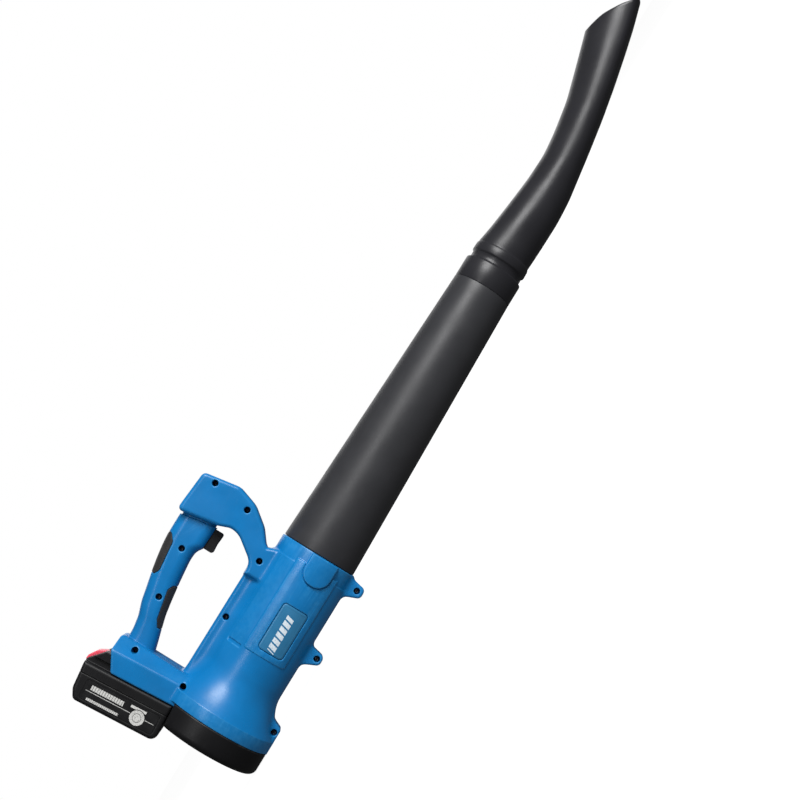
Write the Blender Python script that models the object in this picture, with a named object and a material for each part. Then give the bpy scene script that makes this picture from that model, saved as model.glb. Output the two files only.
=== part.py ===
"""Cordless leaf blower: housing halves, fan unit, tube, nozzle, trigger and slide-on battery pack.

Lengths are in metres and +Z is up. The design is laid out around the air axis: x runs forward
along the air flow with x = 0 at the collar's front edge, z is height above the axis, and the
right-hand shell is on the -Y side. The blower_frame empty then lifts the design so that the
base rim and the rear lug stand on z = 0, and centres it in x.
"""
import math

import bmesh
import bpy
from mathutils import Matrix, Vector

# ---- driving dimensions ------------------------------------------------------------------
GAP = 0.0003                 # air between neighbouring pieces
SMALLEST_R = 0.0003          # least radius that an inset corner keeps
WALL = 0.0026                # moulded wall of the housing
BASE_R = 0.0655              # bell and intake cap
BARREL_R = 0.0465            # fan housing barrel
COLLAR_R = 0.0456            # collar that holds the tube
DUCT_R = BARREL_R - WALL     # inside of the fan housing
CENTRE_X = 0.22946           # middle of the object's length, from the collar's front edge

CAP_REAR_X = -0.2425
CAP_JOINT_X = -0.2150
BELL_CREASE_X = -0.2005
BELL_END_X = -0.1550
COLLAR_STEP_X = -0.0200
COLLAR_FRONT_X = -0.0010
FLAT_Z = 0.0447              # flat on top of the cap, under the battery
INTAKE_FLAT_Z = 0.0432       # flat roof of the intake inside the bell

SPINE_TOP_Z = 0.0593
SPINE_HALF = 0.0180
HEAD_HALF = 0.0260
FOOT_HALF = 0.0380
FOOT_NOSE_HALF = 0.0235
LUG_HALF = 0.0130
LUG_BOTTOM_Z = -0.0645

TUBE_REAR_R = 0.0443
TUBE_FRONT_R = 0.0347
TUBE_END_X = 0.3487
TUBE_NECK_X = 0.3285                   # where the inside starts to narrow to the front spigot
TUBE_NECK_R = 0.0352
TUBE_WALL = 0.0024
TUBE_SPIGOT_R = 0.0426
TUBE_SPIGOT_X = -0.0280
NOZZLE_SPIGOT_R = 0.0322
NOZZLE_SPIGOT_X = 0.3735
NOZZLE_WALL = 0.0022
BAYONET_LOCK = math.radians(-26)      # where the tube's lugs rest, from the side towards +Z

FAN_TIP_R = 0.0424
FAN_HUB_R = 0.0165
FAN_REAR_X = -0.1760
FAN_FRONT_X = -0.1530
FAN_BLADES = 7
STATOR_VANES = 9
MOTOR_R = 0.0185
MOTOR_REAR_X = -0.1480
MOTOR_FRONT_X = -0.0920
SHAFT_R = 0.0016

TILT = math.radians(3.9)              # lean of the battery rails
PACK_CORNER = Vector((-0.2619, 0, 0.0453))    # rear lower corner of the battery pack
PACK_HALF = 0.0370
PACK_LENGTH = 0.1068
PACK_SPLIT = 0.0300
PACK_DEPTH = 0.0423                   # rear face to the foot of the handle
FOOT_DEPTH = PACK_DEPTH + GAP         # the foot's rear face, in front of the pack
FOOT_HOLLOW_DEPTH = 0.0632             # hollow of the foot, in front of the battery rails
DECK_DEPTH = 0.0600
DECK_HALF = 0.0295
DECK_NECK_HALF = 0.0262
DECK_NECK_DEPTH = 0.0500
BUTTON_HALF = 0.0110
CELL_R = 0.0090
CELL_LENGTH = 0.0640
CELL_COUNT = 5
CELL_AXIS_DEPTH = 0.0118
CELL_FIRST_Z = 0.0135                  # height of the lowest cell above the pack's corner

WIRE_HOLE_X = -0.0525                 # where the motor leads enter the duct
LEAD_R = 0.0011
TRIGGER_HALF = 0.0080
TRIGGER_REAR_X = -0.0611
TRIGGER_FRONT_X = -0.0363

# x, z of each housing screw, and the depth of its seat from the centre plane
HOUSING_SCREWS = (
    (0.0066, 0.1380, 0.0130),
    (0.0000, 0.0927, 0.0130),
    (-0.0405, 0.0519, 0.0110),
    (-0.0731, 0.1316, 0.0090),
    (-0.1305, 0.1247, 0.0090),
    (-0.1108, 0.0510, 0.0100),
    (-0.1915, 0.1153, 0.0140),
    (-0.1965, 0.0502, 0.0140),
    (-0.0126, -0.0566, 0.0070),
    (-0.0984, -0.0580, 0.0070),
    (-0.1900, -0.0600, 0.0070),
)
SCREW_HEAD_R = 0.0030
SCREW_SHANK_R = 0.0014
SCREW_REACH = 0.0100                  # past the centre plane
SEAT_R = 0.0036
BOSS_R = 0.0043

ROUND_STEPS = 36              # facets of the large round pieces
SMALL_STEPS = 20
SCREW_STEPS = 8


# ---- materials ---------------------------------------------------------------------------
def material(name, colour, roughness, metallic=0.0):
    made = bpy.data.materials.new(name)
    made.use_nodes = True
    shader = made.node_tree.nodes["Principled BSDF"]
    shader.inputs["Base Color"].default_value = (*colour, 1)
    shader.inputs["Roughness"].default_value = roughness
    shader.inputs["Metallic"].default_value = metallic
    return made


def make_materials():
    return {
        "blue": material("blue_plastic", (0.008, 0.162, 0.468), 0.32),
        "black": material("black_plastic", (0.016, 0.016, 0.018), 0.42),
        "tube": material("tube_plastic", (0.026, 0.026, 0.029), 0.40),
        "rubber": material("soft_rubber", (0.018, 0.018, 0.019), 0.78),
        "red": material("red_plastic", (0.42, 0.02, 0.03), 0.35),
        "plate": material("plate_lacquer", (0.06, 0.19, 0.36), 0.30),
        "label": material("label_film", (0.62, 0.62, 0.60), 0.45),
        "fan": material("fan_nylon", (0.030, 0.030, 0.032), 0.50),
        "steel": material("steel", (0.56, 0.56, 0.58), 0.30, 1.0),
        "copper": material("copper", (0.72, 0.36, 0.20), 0.35, 1.0),
        "board": material("circuit_board", (0.02, 0.14, 0.06), 0.45),
        "cell": material("cell_sleeve", (0.03, 0.28, 0.30), 0.40),
        "red_wire": material("red_insulation", (0.50, 0.02, 0.02), 0.45),
        "black_wire": material("black_insulation", (0.015, 0.015, 0.016), 0.45),
    }


# ---- shape helpers -----------------------------------------------------------------------
def object_from_faces(name, points, faces):
    mesh = bpy.data.meshes.new(name)
    mesh.from_pydata(points, [], faces)
    work = bmesh.new()
    work.from_mesh(mesh)
    bmesh.ops.recalc_face_normals(work, faces=work.faces)
    work.to_mesh(mesh)
    work.free()
    made = bpy.data.objects.new(name, mesh)
    bpy.context.scene.collection.objects.link(made)
    return made


def loft(name, rings):
    """Skin rings of equal length, with a cap on each end."""
    count = len(rings[0])
    points = [point for ring in rings for point in ring]
    faces = []
    for row in range(len(rings) - 1):
        here = row * count
        there = here + count
        for col in range(count):
            side = (col + 1) % count
            faces.append((here + col, here + side, there + side, there + col))
    faces.append(tuple(range(count)))
    faces.append(tuple(range(len(points) - count, len(points))))
    return object_from_faces(name, points, faces)


def signed_area(outline):
    pairs = zip(outline, outline[1:] + outline[:1])
    return sum(a[0] * b[1] - b[0] * a[1] for a, b in pairs) / 2


def inset_corners(corners, distance):
    """Corners (u, v, radius) moved inward, with each radius kept concentric."""
    inward = 1 if signed_area(corners) > 0 else -1
    moved_corners = []
    count = len(corners)
    for index, (u, v, radius) in enumerate(corners):
        here = Vector((u, v))
        before = (here - Vector(corners[index - 1][:2])).normalized()
        after = (Vector(corners[(index + 1) % count][:2]) - here).normalized()
        normal_a = Vector((-before.y, before.x)) * inward
        normal_b = Vector((-after.y, after.x)) * inward
        mitre = (normal_a + normal_b).normalized()
        place = here + mitre * distance / mitre.dot(normal_a)
        outward = before.cross(after) * inward > 0
        if radius:
            radius = max(radius + (-distance if outward else distance), SMALLEST_R)
        moved_corners.append((place.x, place.y, radius))
    return moved_corners


def rounded_outline(corners, steps=3, inset=0.0):
    """Outline through corners (u, v, radius), each radius turned into an arc."""
    if inset:
        corners = inset_corners(corners, inset)
    outline = []
    count = len(corners)
    for index, (u, v, radius) in enumerate(corners):
        here = Vector((u, v))
        if radius == 0:
            outline.append((u, v))
            continue
        back = (Vector(corners[index - 1][:2]) - here).normalized()
        ahead = (Vector(corners[(index + 1) % count][:2]) - here).normalized()
        half = back.angle(ahead) / 2
        reach = radius / math.tan(half)
        centre = here + (back + ahead).normalized() * radius / math.sin(half)
        start = here + back * reach - centre
        turn = start.angle_signed(here + ahead * reach - centre)
        for step in range(steps + 1):
            arm = Matrix.Rotation(-turn * step / steps, 2) @ start
            outline.append((centre.x + arm.x, centre.y + arm.y))
    return outline


def side_prism(name, corners, low, high, edge=0.0, inset=0.0, steps=2, arc_steps=3):
    """Prism of x-z corners between two y values, its rims rounded by a radius."""
    rings = []
    for sign, level in ((-1, low), (1, high)):
        rim = []
        for step in range(steps + 1) if edge else (steps,):
            angle = math.pi / 2 * step / steps
            shrink = inset + edge * (1 - math.sin(angle))
            depth = level - sign * edge * (1 - math.cos(angle))
            rim.append([(u, depth, v) for u, v in rounded_outline(corners, arc_steps, shrink)])
        rings += rim if sign < 0 else rim[::-1]
    return loft(name, rings)


def rail_prism(name, outline, low, high):
    """Prism of a plan outline between two heights."""
    return loft(name, [[(u, v, level) for u, v in outline] for level in (low, high)])


def box(name, low, high):
    outline = [(low[0], low[1]), (high[0], low[1]), (high[0], high[1]), (low[0], high[1])]
    return rail_prism(name, outline, low[2], high[2])


def turned(name, profile, steps=ROUND_STEPS):
    """Solid of revolution about the air axis from a closed profile of (x, radius)."""
    mesh = bpy.data.meshes.new(name)
    work = bmesh.new()
    ring = [work.verts.new((x, -radius, 0)) for x, radius in profile]
    edges = [work.edges.new((ring[i - 1], ring[i])) for i in range(len(ring))]
    bmesh.ops.spin(work, geom=ring + edges, cent=(0, 0, 0), axis=(1, 0, 0),
                   angle=math.tau, steps=steps, use_merge=True)
    bmesh.ops.remove_doubles(work, verts=work.verts, dist=1e-6)
    bmesh.ops.dissolve_degenerate(work, edges=work.edges, dist=1e-7)
    loose = [edge for edge in work.edges if not edge.link_faces]
    bmesh.ops.delete(work, geom=loose, context="EDGES")
    bmesh.ops.recalc_face_normals(work, faces=work.faces)
    work.to_mesh(mesh)
    work.free()
    made = bpy.data.objects.new(name, mesh)
    bpy.context.scene.collection.objects.link(made)
    return made


def rod(name, start, end, radius, sides=16):
    """Straight round bar between two points."""
    start = Vector(start)
    run = Vector(end) - start
    turn = run.to_track_quat("Z", "Y").to_matrix()
    arms = [math.tau * index / sides for index in range(sides)]
    ring = [turn @ Vector((radius * math.cos(arm), radius * math.sin(arm), 0)) for arm in arms]
    return loft(name, [[start + arm for arm in ring], [start + run + arm for arm in ring]])


def joined(name, pieces):
    """One object holding several separate solids, for use as a cutter."""
    work = bmesh.new()
    for piece in pieces:
        work.from_mesh(piece.data)
        bpy.data.objects.remove(piece)
    mesh = bpy.data.meshes.new(name)
    work.to_mesh(mesh)
    work.free()
    made = bpy.data.objects.new(name, mesh)
    bpy.context.scene.collection.objects.link(made)
    return made


def boolean(target, tool, operation):
    """Bake an exact Boolean into the target and remove the tool."""
    modifier = target.modifiers.new("boolean", "BOOLEAN")
    modifier.operation = operation
    modifier.solver = "EXACT"
    modifier.object = tool
    bpy.context.view_layer.update()
    result = target.evaluated_get(bpy.context.evaluated_depsgraph_get())
    mesh = bpy.data.meshes.new_from_object(result)
    target.modifiers.clear()
    target.data = mesh
    bpy.data.objects.remove(tool)
    return target


def union(target, *tools):
    for tool in tools:
        boolean(target, tool, "UNION")
    return target


def cut(target, *tools):
    for tool in tools:
        boolean(target, tool, "DIFFERENCE")
    return target


def copy_of(source, name):
    made = bpy.data.objects.new(name, source.data.copy())
    bpy.context.scene.collection.objects.link(made)
    return made


def moved(piece, matrix):
    piece.data.transform(matrix)
    return piece


def finish(piece, name, look, frame, origin=(0, 0, 0), smooth=30):
    """Name a finished piece, give it its look, and set its origin in the blower's frame."""
    piece.name = name
    piece.data.name = name
    piece.data.materials.clear()
    piece.data.materials.append(look)
    work = bmesh.new()
    work.from_mesh(piece.data)
    bmesh.ops.remove_doubles(work, verts=work.verts, dist=1e-6)
    bmesh.ops.dissolve_degenerate(work, edges=work.edges, dist=1e-6)
    bmesh.ops.dissolve_limit(work, angle_limit=math.radians(0.2), verts=work.verts, edges=work.edges)
    bmesh.ops.triangulate(work, faces=work.faces)
    work.to_mesh(piece.data)
    work.free()
    piece.data.transform(Matrix.Translation(-Vector(origin)))
    piece.location = origin
    piece.parent = frame
    piece.data.shade_smooth()
    piece.data.set_sharp_from_angle(angle=math.radians(smooth))
    return piece


# ---- housing -----------------------------------------------------------------------------
def bell_radius(x):
    """Outer radius of the fan housing, flaring back from the barrel to the crease."""
    share = min(max((BELL_END_X - x) / (BELL_END_X - BELL_CREASE_X), 0), 1)
    return BARREL_R + (BASE_R - BARREL_R) * share ** 1.8


def barrel_profile(inset):
    """Closed half profile of the fan housing, smaller by an inset."""
    points = [(CAP_JOINT_X + GAP, 0), (CAP_JOINT_X + GAP, BASE_R - inset)]
    flare = 4
    for step in range(flare + 1):
        x = BELL_CREASE_X + (BELL_END_X - BELL_CREASE_X) * step / flare
        points.append((x, bell_radius(x) - inset))
    points += [(COLLAR_STEP_X, BARREL_R - inset), (COLLAR_STEP_X + 0.001, COLLAR_R - inset),
               (COLLAR_FRONT_X, COLLAR_R - inset), (COLLAR_FRONT_X, 0)]
    return points


def rail_x(depth, z):
    """x of a plane parallel to the battery rails, at a depth from the pack's rear face."""
    return PACK_CORNER.x + depth / math.cos(TILT) - (z - PACK_CORNER.z) * math.tan(TILT)


HEAD_CORNERS = (
    (-0.0395, 0.1590, 0.004), (0.0105, 0.1553, 0.004), (0.0175, 0.1125, 0.012),
    (0.0095, 0.0880, 0.025), (-0.0065, 0.0670, 0.025), (-0.0205, 0.0560, 0.006),
    (-0.0232, 0.0525, 0.0), (-0.0200, 0.0440, 0.0), (-0.0200, 0.0300, 0.0),
    (-0.0600, 0.0300, 0.0), (-0.0600, 0.0593, 0.0), (-0.0475, 0.0593, 0.016),
    (-0.0265, 0.0880, 0.020), (-0.0265, 0.0985, 0.010), (-0.0315, 0.1110, 0.004),
)
FOOT_CORNERS = (
    (rail_x(FOOT_DEPTH, 0.0450), 0.0450, 0.0), (rail_x(FOOT_DEPTH, 0.1240), 0.1240, 0.002),
    (-0.2030, 0.1368, 0.004),
    (-0.1840, 0.1368, 0.004), (-0.1848, 0.0600, 0.0), (-0.1848, 0.0300, 0.0),
    (-0.2100, 0.0300, 0.0), (-0.2100, 0.0450, 0.0),
)
# x, underside z, top z and half width along the grip
GRIP_STATIONS = (
    (-0.1950, 0.0940, 0.1302, 0.0165), (-0.1750, 0.0996, 0.1309, 0.0165),
    (-0.1600, 0.1042, 0.1336, 0.0165), (-0.1450, 0.1085, 0.1392, 0.0168),
    (-0.1280, 0.1115, 0.1430, 0.0170), (-0.1115, 0.1140, 0.1470, 0.0170),
    (-0.0965, 0.1158, 0.1500, 0.0170), (-0.0800, 0.1177, 0.1527, 0.0170),
    (-0.0700, 0.1172, 0.1537, 0.0170), (-0.0645, 0.1145, 0.1540, 0.0170),
    (-0.0615, 0.1112, 0.1541, 0.0170), (-0.0450, 0.1108, 0.1543, 0.0170),
    (-0.0240, 0.1108, 0.1543, 0.0170),
)
# x-z windows that the two soft inlays fill on the grip
UPPER_INLAY = (
    (-0.1120, 0.1700, 0.0), (-0.1120, 0.1430, 0.0), (-0.1060, 0.1395, 0.005),
    (-0.0720, 0.1435, 0.005), (-0.0645, 0.1500, 0.003), (-0.0645, 0.1700, 0.0),
)
LOWER_INLAY = (
    (-0.1600, 0.0900, 0.0), (-0.1600, 0.1085, 0.0), (-0.1520, 0.1135, 0.005),
    (-0.1190, 0.1205, 0.005), (-0.1120, 0.1175, 0.003), (-0.1120, 0.0900, 0.0),
)


def grip_loft(name, inset):
    """Hand grip: squared-oval sections, smaller by an inset."""
    rings = []
    sides = 16
    for x, low, high, half in GRIP_STATIONS:
        middle = (low + high) / 2
        rise = (high - low) / 2 - inset
        ring = []
        for index in range(sides):
            angle = math.tau * (index + 0.5) / sides
            c, s = math.cos(angle), math.sin(angle)
            swell = 0.66
            y = (half - inset) * math.copysign(abs(c) ** swell, c)
            z = middle + rise * math.copysign(abs(s) ** swell, s)
            ring.append((x, y, z))
        rings.append(ring)
    return loft(name, rings)


def foot_block(name, inset):
    """Block that carries the battery rails, chamfered towards the hand opening."""
    beyond = 0.0070
    plan = [(-0.2400, -FOOT_HALF - beyond, 0), (-0.1945 - beyond, -FOOT_HALF - beyond, 0),
            (-0.1800, -FOOT_NOSE_HALF, 0), (-0.1700, -FOOT_NOSE_HALF, 0)]
    plan += [(x, -y, 0) for x, y, radius in reversed(plan)]
    plan = rounded_outline(plan, inset=inset)
    lean = math.tan(TILT)
    low, high = 0.0200, 0.1500
    rings = [[(x - lean * (z - low), y, z) for x, y in plan] for z in (low, high)]
    edge = 0.0 if inset else 0.0015
    block = side_prism(name, FOOT_CORNERS, -FOOT_HALF + inset, FOOT_HALF - inset, edge, inset)
    return boolean(block, loft("foot_plan", rings), "INTERSECT")


def head_block(name, inset):
    edge = 0.0 if inset else 0.0035
    return side_prism(name, HEAD_CORNERS, -HEAD_HALF + inset, HEAD_HALF - inset, edge, inset)


def lug(name, corners):
    return side_prism(name, corners, -LUG_HALF, LUG_HALF)


def side_boss(name, corners, radius, turn):
    """Raised area on the barrel, bounded by an x-z outline and a larger radius."""
    patch = side_prism(name, corners, -0.0600, -0.0200, arc_steps=5)
    drum = turned("drum", [(-0.1400, 0), (-0.1400, radius), (0.0100, radius), (0.0100, 0)])
    boolean(patch, drum, "INTERSECT")
    return moved(patch, Matrix.Rotation(turn, 4, "X"))


PANEL_CORNERS = ((-0.1300, 0.0180, 0.006), (-0.0380, 0.0180, 0.010),
                 (-0.0380, -0.0325, 0.010), (-0.1300, -0.0325, 0.006))
PLATE_CORNERS = ((-0.1193, 0.0068, 0.005), (-0.0606, 0.0068, 0.005),
                 (-0.0606, -0.0258, 0.005), (-0.1193, -0.0258, 0.005))
TAB_CORNERS = ((-0.0330, 0.0060, 0.012), (-0.0015, 0.0060, 0.0),
               (-0.0015, -0.0250, 0.0), (-0.0330, -0.0250, 0.012))


def housing_outside():
    """Outer form of both shells together."""
    body = turned("housing", barrel_profile(0))
    front_lug = ((-0.0265, -0.0380, 0), (-0.0180, LUG_BOTTOM_Z, 0.005),
                 (-0.0068, LUG_BOTTOM_Z, 0.005), (-0.0012, -0.0380, 0))
    middle_lug = ((-0.1130, -0.0380, 0), (-0.1035, LUG_BOTTOM_Z, 0.005),
                  (-0.0928, LUG_BOTTOM_Z, 0.005), (-0.0878, -0.0380, 0))
    rear_lug = ((-0.1600, -0.0400, 0), (-0.1780, -0.0520, 0.006), (-0.1838, -BASE_R, 0.004),
                (-0.2130, -BASE_R, 0), (-0.2130, -0.0400, 0))
    spine = ((-0.2000, 0.0300, 0), (-0.0450, 0.0300, 0), (-0.0450, SPINE_TOP_Z, 0),
             (-0.2000, SPINE_TOP_Z, 0))
    union(body, lug("front_lug", front_lug), lug("middle_lug", middle_lug), lug("rear_lug", rear_lug))
    union(body, side_prism("spine", spine, -SPINE_HALF, SPINE_HALF, 0.003))
    union(body, head_block("head", 0), foot_block("foot", 0), grip_loft("grip", 0))
    for turn in (0, math.pi):
        union(body, side_boss("panel", PANEL_CORNERS, BARREL_R + 0.0009, turn))
        union(body, side_boss("tab", TAB_CORNERS, BARREL_R + 0.0030, turn))
    return body


def screw_bosses():
    return joined("bosses", [rod("boss", (x, -0.05, z), (x, 0.05, z), BOSS_R, SCREW_STEPS)
                             for x, z, seat in HOUSING_SCREWS])


def screw_holes():
    """Seats open to the right, with blind holes that reach into the left shell."""
    holes = []
    for x, z, seat in HOUSING_SCREWS:
        holes.append(cut_tool_for_screw(x, z, seat))
    return joined("holes", holes)


def cut_tool_for_screw(x, z, seat):
    """Stepped cutter: wide seat outside, narrow hole past the centre plane."""
    sides = SCREW_STEPS
    outside = -0.0500
    levels = ((outside, SEAT_R), (-seat, SEAT_R), (-seat, SCREW_SHANK_R + GAP),
              (SCREW_REACH + GAP, SCREW_SHANK_R + GAP))
    rings = []
    for depth, radius in levels:
        ring = []
        for index in range(sides):
            arm = math.tau * index / sides
            ring.append((x + radius * math.cos(arm), depth, z + radius * math.sin(arm)))
        rings.append(ring)
    return loft("hole", rings)


def upper_cavity():
    """Hollow of the handle, kept clear of the air duct and of the battery rails."""
    hollow = head_block("cavity", WALL)
    spine = box("spine_hollow", (-0.1900, -0.0152, 0.0468), (-0.0400, 0.0152, SPINE_TOP_Z - WALL))
    union(hollow, grip_loft("grip_hollow", WALL + 0.0004), spine)
    foot = foot_block("foot_hollow", WALL)
    keep = box("foot_keep", (FOOT_HOLLOW_DEPTH, -0.0300, 0.0060), (0.0800, 0.0300, 0.0880))
    in_pack_frame(keep)
    boolean(foot, keep, "INTERSECT")
    union(hollow, foot)
    cut(hollow, turned("duct_wall", barrel_profile(0)))
    return hollow


def in_pack_frame(piece):
    """Place a piece drawn in the pack's own axes: x into the handle, z along the rails."""
    return moved(piece, Matrix.Translation(PACK_CORNER) @ Matrix.Rotation(-TILT, 4, "Y"))


def duct_cavity():
    """Air path from the cap to the collar, with a flat roof under the battery."""
    profile = [(CAP_JOINT_X - 0.001, 0), (CAP_JOINT_X - 0.001, BASE_R - WALL),
               (BELL_CREASE_X, BASE_R - WALL)]
    flare = 4
    for step in range(1, flare + 1):
        x = BELL_CREASE_X + (BELL_END_X - BELL_CREASE_X) * step / flare
        profile.append((x, bell_radius(x) - WALL))
    stop_r = 0.0400
    spigot_r = TUBE_SPIGOT_R + GAP
    profile += [(-0.0350, DUCT_R), (-0.0330, stop_r), (TUBE_SPIGOT_X - GAP, stop_r),
                (TUBE_SPIGOT_X - GAP, spigot_r), (0.0050, spigot_r), (0.0050, 0)]
    duct = turned("duct", profile)
    cut(duct, box("roof", (-0.2300, -0.0800, INTAKE_FLAT_Z), (-0.1650, 0.0800, 0.0800)))
    return duct


def bayonet_slots():
    """L-shaped slots inside the collar for the tube's two lugs."""
    slots = []
    for turn in (0, math.pi):
        sweep = ring_block("sweep", (-0.0215, -0.0125), (0.0420, 0.0453), (-31, 5), 4)
        entry = ring_block("entry", (-0.0130, 0.0050), (0.0418, 0.0450), (-5, 4.6), 1)
        union(sweep, entry)
        slots.append(moved(sweep, Matrix.Rotation(turn, 4, "X")))
    return slots


def ring_block(name, x_range, radii, degrees, steps=6):
    """Part of a ring on the -Y side, between two angles measured towards +Z."""
    rings = []
    for step in range(steps + 1):
        angle = math.radians(degrees[0] + (degrees[1] - degrees[0]) * step / steps)
        corners = ((x_range[0], radii[0]), (x_range[1], radii[0]),
                   (x_range[1], radii[1]), (x_range[0], radii[1]))
        rings.append([(x, -radius * math.cos(angle), radius * math.sin(angle))
                      for x, radius in corners])
    return loft(name, rings)


def rail_channel():
    """Channel in the foot that the battery's deck slides into, open at the top and rear."""
    inner = DECK_HALF + GAP
    neck = DECK_NECK_HALF + GAP
    deep = DECK_DEPTH + 0.0006
    step = DECK_NECK_DEPTH - GAP
    rear = PACK_DEPTH - 0.0100
    plan = [(rear, -neck), (step, -neck), (step, -inner), (deep, -inner),
            (deep, inner), (step, inner), (step, neck), (rear, neck)]
    channel = in_pack_frame(rail_prism("channel", plan, 0.0015, 0.1300))
    socket = in_pack_frame(box("socket", (0.0560, -0.0205, 0.0060), (0.0700, 0.0205, 0.0405)))
    return channel, socket


def inlay_blank(name, corners, grow, depth):
    """Soft inlay: the grip's skin inside an x-z window, down to a depth."""
    band = side_prism(name, corners, -0.0300, 0.0300, inset=-grow)
    cut(band, grip_loft("under_skin", depth))
    return band


def make_housing(looks, frame):
    shell = housing_outside()
    hollow = cut(upper_cavity(), screw_bosses())
    wire_hole = rod("wire_hole", (WIRE_HOLE_X, 0, 0.0380), (WIRE_HOLE_X, 0, 0.0560), 0.0040, SCREW_STEPS)
    cut(shell, hollow, duct_cavity(), wire_hole, *bayonet_slots(), *rail_channel(), screw_holes())
    opening = box("trigger_opening", (TRIGGER_REAR_X - GAP, -TRIGGER_HALF - GAP, 0.1000),
                  (TRIGGER_FRONT_X + GAP, TRIGGER_HALF + GAP, 0.1180))
    recess = side_prism("plate_recess", PLATE_CORNERS, -0.0600, -0.0200, inset=-GAP)
    cut(recess, turned("plate_floor", [(-0.15, 0), (-0.15, BARREL_R - 0.0006),
                                       (0, BARREL_R - 0.0006), (0, 0)]))
    cut(shell, opening, recess)
    cut(shell, inlay_blank("upper_recess", UPPER_INLAY, GAP, 0.0014),
        inlay_blank("lower_recess", LOWER_INLAY, GAP, 0.0014))
    left = copy_of(shell, "left")
    reach = (0.40, 0.20, 0.30)
    boolean(shell, box("right_side", (-reach[0], -reach[1], -reach[2]),
                       (reach[0], -GAP / 2, reach[2])), "INTERSECT")
    boolean(left, box("left_side", (-reach[0], GAP / 2, -reach[2]),
                      (reach[0], reach[1], reach[2])), "INTERSECT")
    finish(shell, "right_housing", looks["blue"], frame)
    finish(left, "left_housing", looks["blue"], frame)


def make_inlays(looks, frame):
    for name, corners in (("upper_grip_inlay", UPPER_INLAY), ("lower_grip_inlay", LOWER_INLAY)):
        inlay = inlay_blank(name, corners, 0, 0.0011)
        boolean(inlay, grip_loft("skin", 0), "INTERSECT")
        finish(inlay, name, looks["rubber"], frame)


def make_name_plate(looks, frame):
    plate = side_prism("name_plate", PLATE_CORNERS, -0.0600, -0.0200)
    outer, inner = BARREL_R + 0.0010, BARREL_R - 0.0003
    drum = turned("drum", [(-0.15, inner), (-0.15, outer), (0, outer), (0, inner)])
    boolean(plate, drum, "INTERSECT")
    finish(plate, "name_plate", looks["plate"], frame)


def make_cap(looks, frame):
    """Intake cap: cup with horizontal slots, its top cut flat under the battery."""
    rear, joint, wall = CAP_REAR_X, CAP_JOINT_X, 0.0024
    lip = BASE_R - WALL - GAP
    profile = [(rear, 0), (rear, BASE_R - 0.0070), (rear + 0.0020, BASE_R - 0.0030),
               (rear + 0.0070, BASE_R), (joint, BASE_R), (joint, lip), (joint + 0.0060, lip),
               (joint + 0.0060, lip - wall), (rear + 0.0070, lip - wall),
               (rear + wall + 0.0006, BASE_R - 0.0090), (rear + wall, 0)]
    cap = turned("cap", profile)
    cut(cap, box("cap_top", (rear - 0.01, -0.08, FLAT_Z), (0, 0.08, 0.08)))
    lip_roof = INTAKE_FLAT_Z - GAP
    cut(cap, box("lip_top", (joint + 0.00001, -0.08, lip_roof), (0, 0.08, 0.08)))
    inner_roof = box("cap_roof", (rear + wall / 2, -0.0430, lip_roof - wall),
                     (joint + 0.0060, 0.0430, lip_roof))
    union(cap, inner_roof)
    slots = []
    slot_pitch = 0.0115
    for index in range(-4, 4):
        z = slot_pitch * index + 0.0018
        half = math.sqrt((BASE_R - 0.0120) ** 2 - z ** 2) - 0.001
        for side in (-1, 1):
            ends = sorted((side * 0.0025, side * half))
            slots.append(box("slot", (rear - 0.01, ends[0], z - 0.0032),
                             (rear + 0.006, ends[1], z + 0.0032)))
    cut(cap, joined("slots", slots))
    finish(cap, "rear_intake_cap", looks["black"], frame)


def make_screws(looks, frame):
    for number, (x, z, seat) in enumerate(HOUSING_SCREWS, 1):
        sides = SCREW_STEPS
        head = 0.0020
        levels = ((-seat - GAP - head, SCREW_HEAD_R), (-seat - GAP, SCREW_HEAD_R),
                  (-seat - GAP, SCREW_SHANK_R), (SCREW_REACH, SCREW_SHANK_R))
        rings = []
        for depth, radius in levels:
            rings.append([(x + radius * math.cos(math.tau * i / sides), depth,
                           z + radius * math.sin(math.tau * i / sides)) for i in range(sides)])
        finish(loft("screw", rings), f"housing_screw_{number:02d}", looks["steel"], frame, (x, 0, z))


# ---- fan unit ----------------------------------------------------------------------------
def blade(name, rear, front, hub, tip, start_pitch, end_pitch, sweep, thickness):
    """Twisted blade from hub to tip radius, drawn on the -Y side."""
    rings = []
    stations = 3
    chord_x = front - rear
    for step in range(stations):
        share = step / (stations - 1)
        radius = hub + (tip - hub) * share
        pitch = start_pitch + (end_pitch - start_pitch) * share
        turn = chord_x * math.tan(pitch)
        ring = []
        for along, side in ((0, -0.5), (0.5, -0.5), (1, -0.5), (1, 0.5), (0.5, 0.5), (0, 0.5)):
            x = rear + chord_x * along
            arc = turn * (along - 0.5) + side * thickness + sweep * share
            arc += 0.18 * turn * (1 - (2 * along - 1) ** 2)
            angle = arc / radius
            ring.append((x, -radius * math.cos(angle), radius * math.sin(angle)))
        rings.append(ring)
    return loft(name, rings)


def make_impeller(looks, frame):
    profile = [(FAN_REAR_X - 0.0030, SHAFT_R + 0.0009), (FAN_REAR_X - 0.0030, 0.0090),
               (FAN_REAR_X + 0.0010, 0.0145), (FAN_REAR_X + 0.0080, FAN_HUB_R),
               (FAN_FRONT_X + 0.0010, FAN_HUB_R), (FAN_FRONT_X + 0.0010, SHAFT_R + 0.0009)]
    fan = turned("impeller", profile, SMALL_STEPS)
    for index in range(FAN_BLADES):
        wing = blade("wing", FAN_REAR_X + 0.0010, FAN_FRONT_X, FAN_HUB_R - 0.0030, FAN_TIP_R,
                     math.radians(38), math.radians(55), 0.004, 0.0018)
        union(fan, moved(wing, Matrix.Rotation(math.tau * index / FAN_BLADES, 4, "X")))
    finish(fan, "impeller", looks["fan"], frame)


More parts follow.
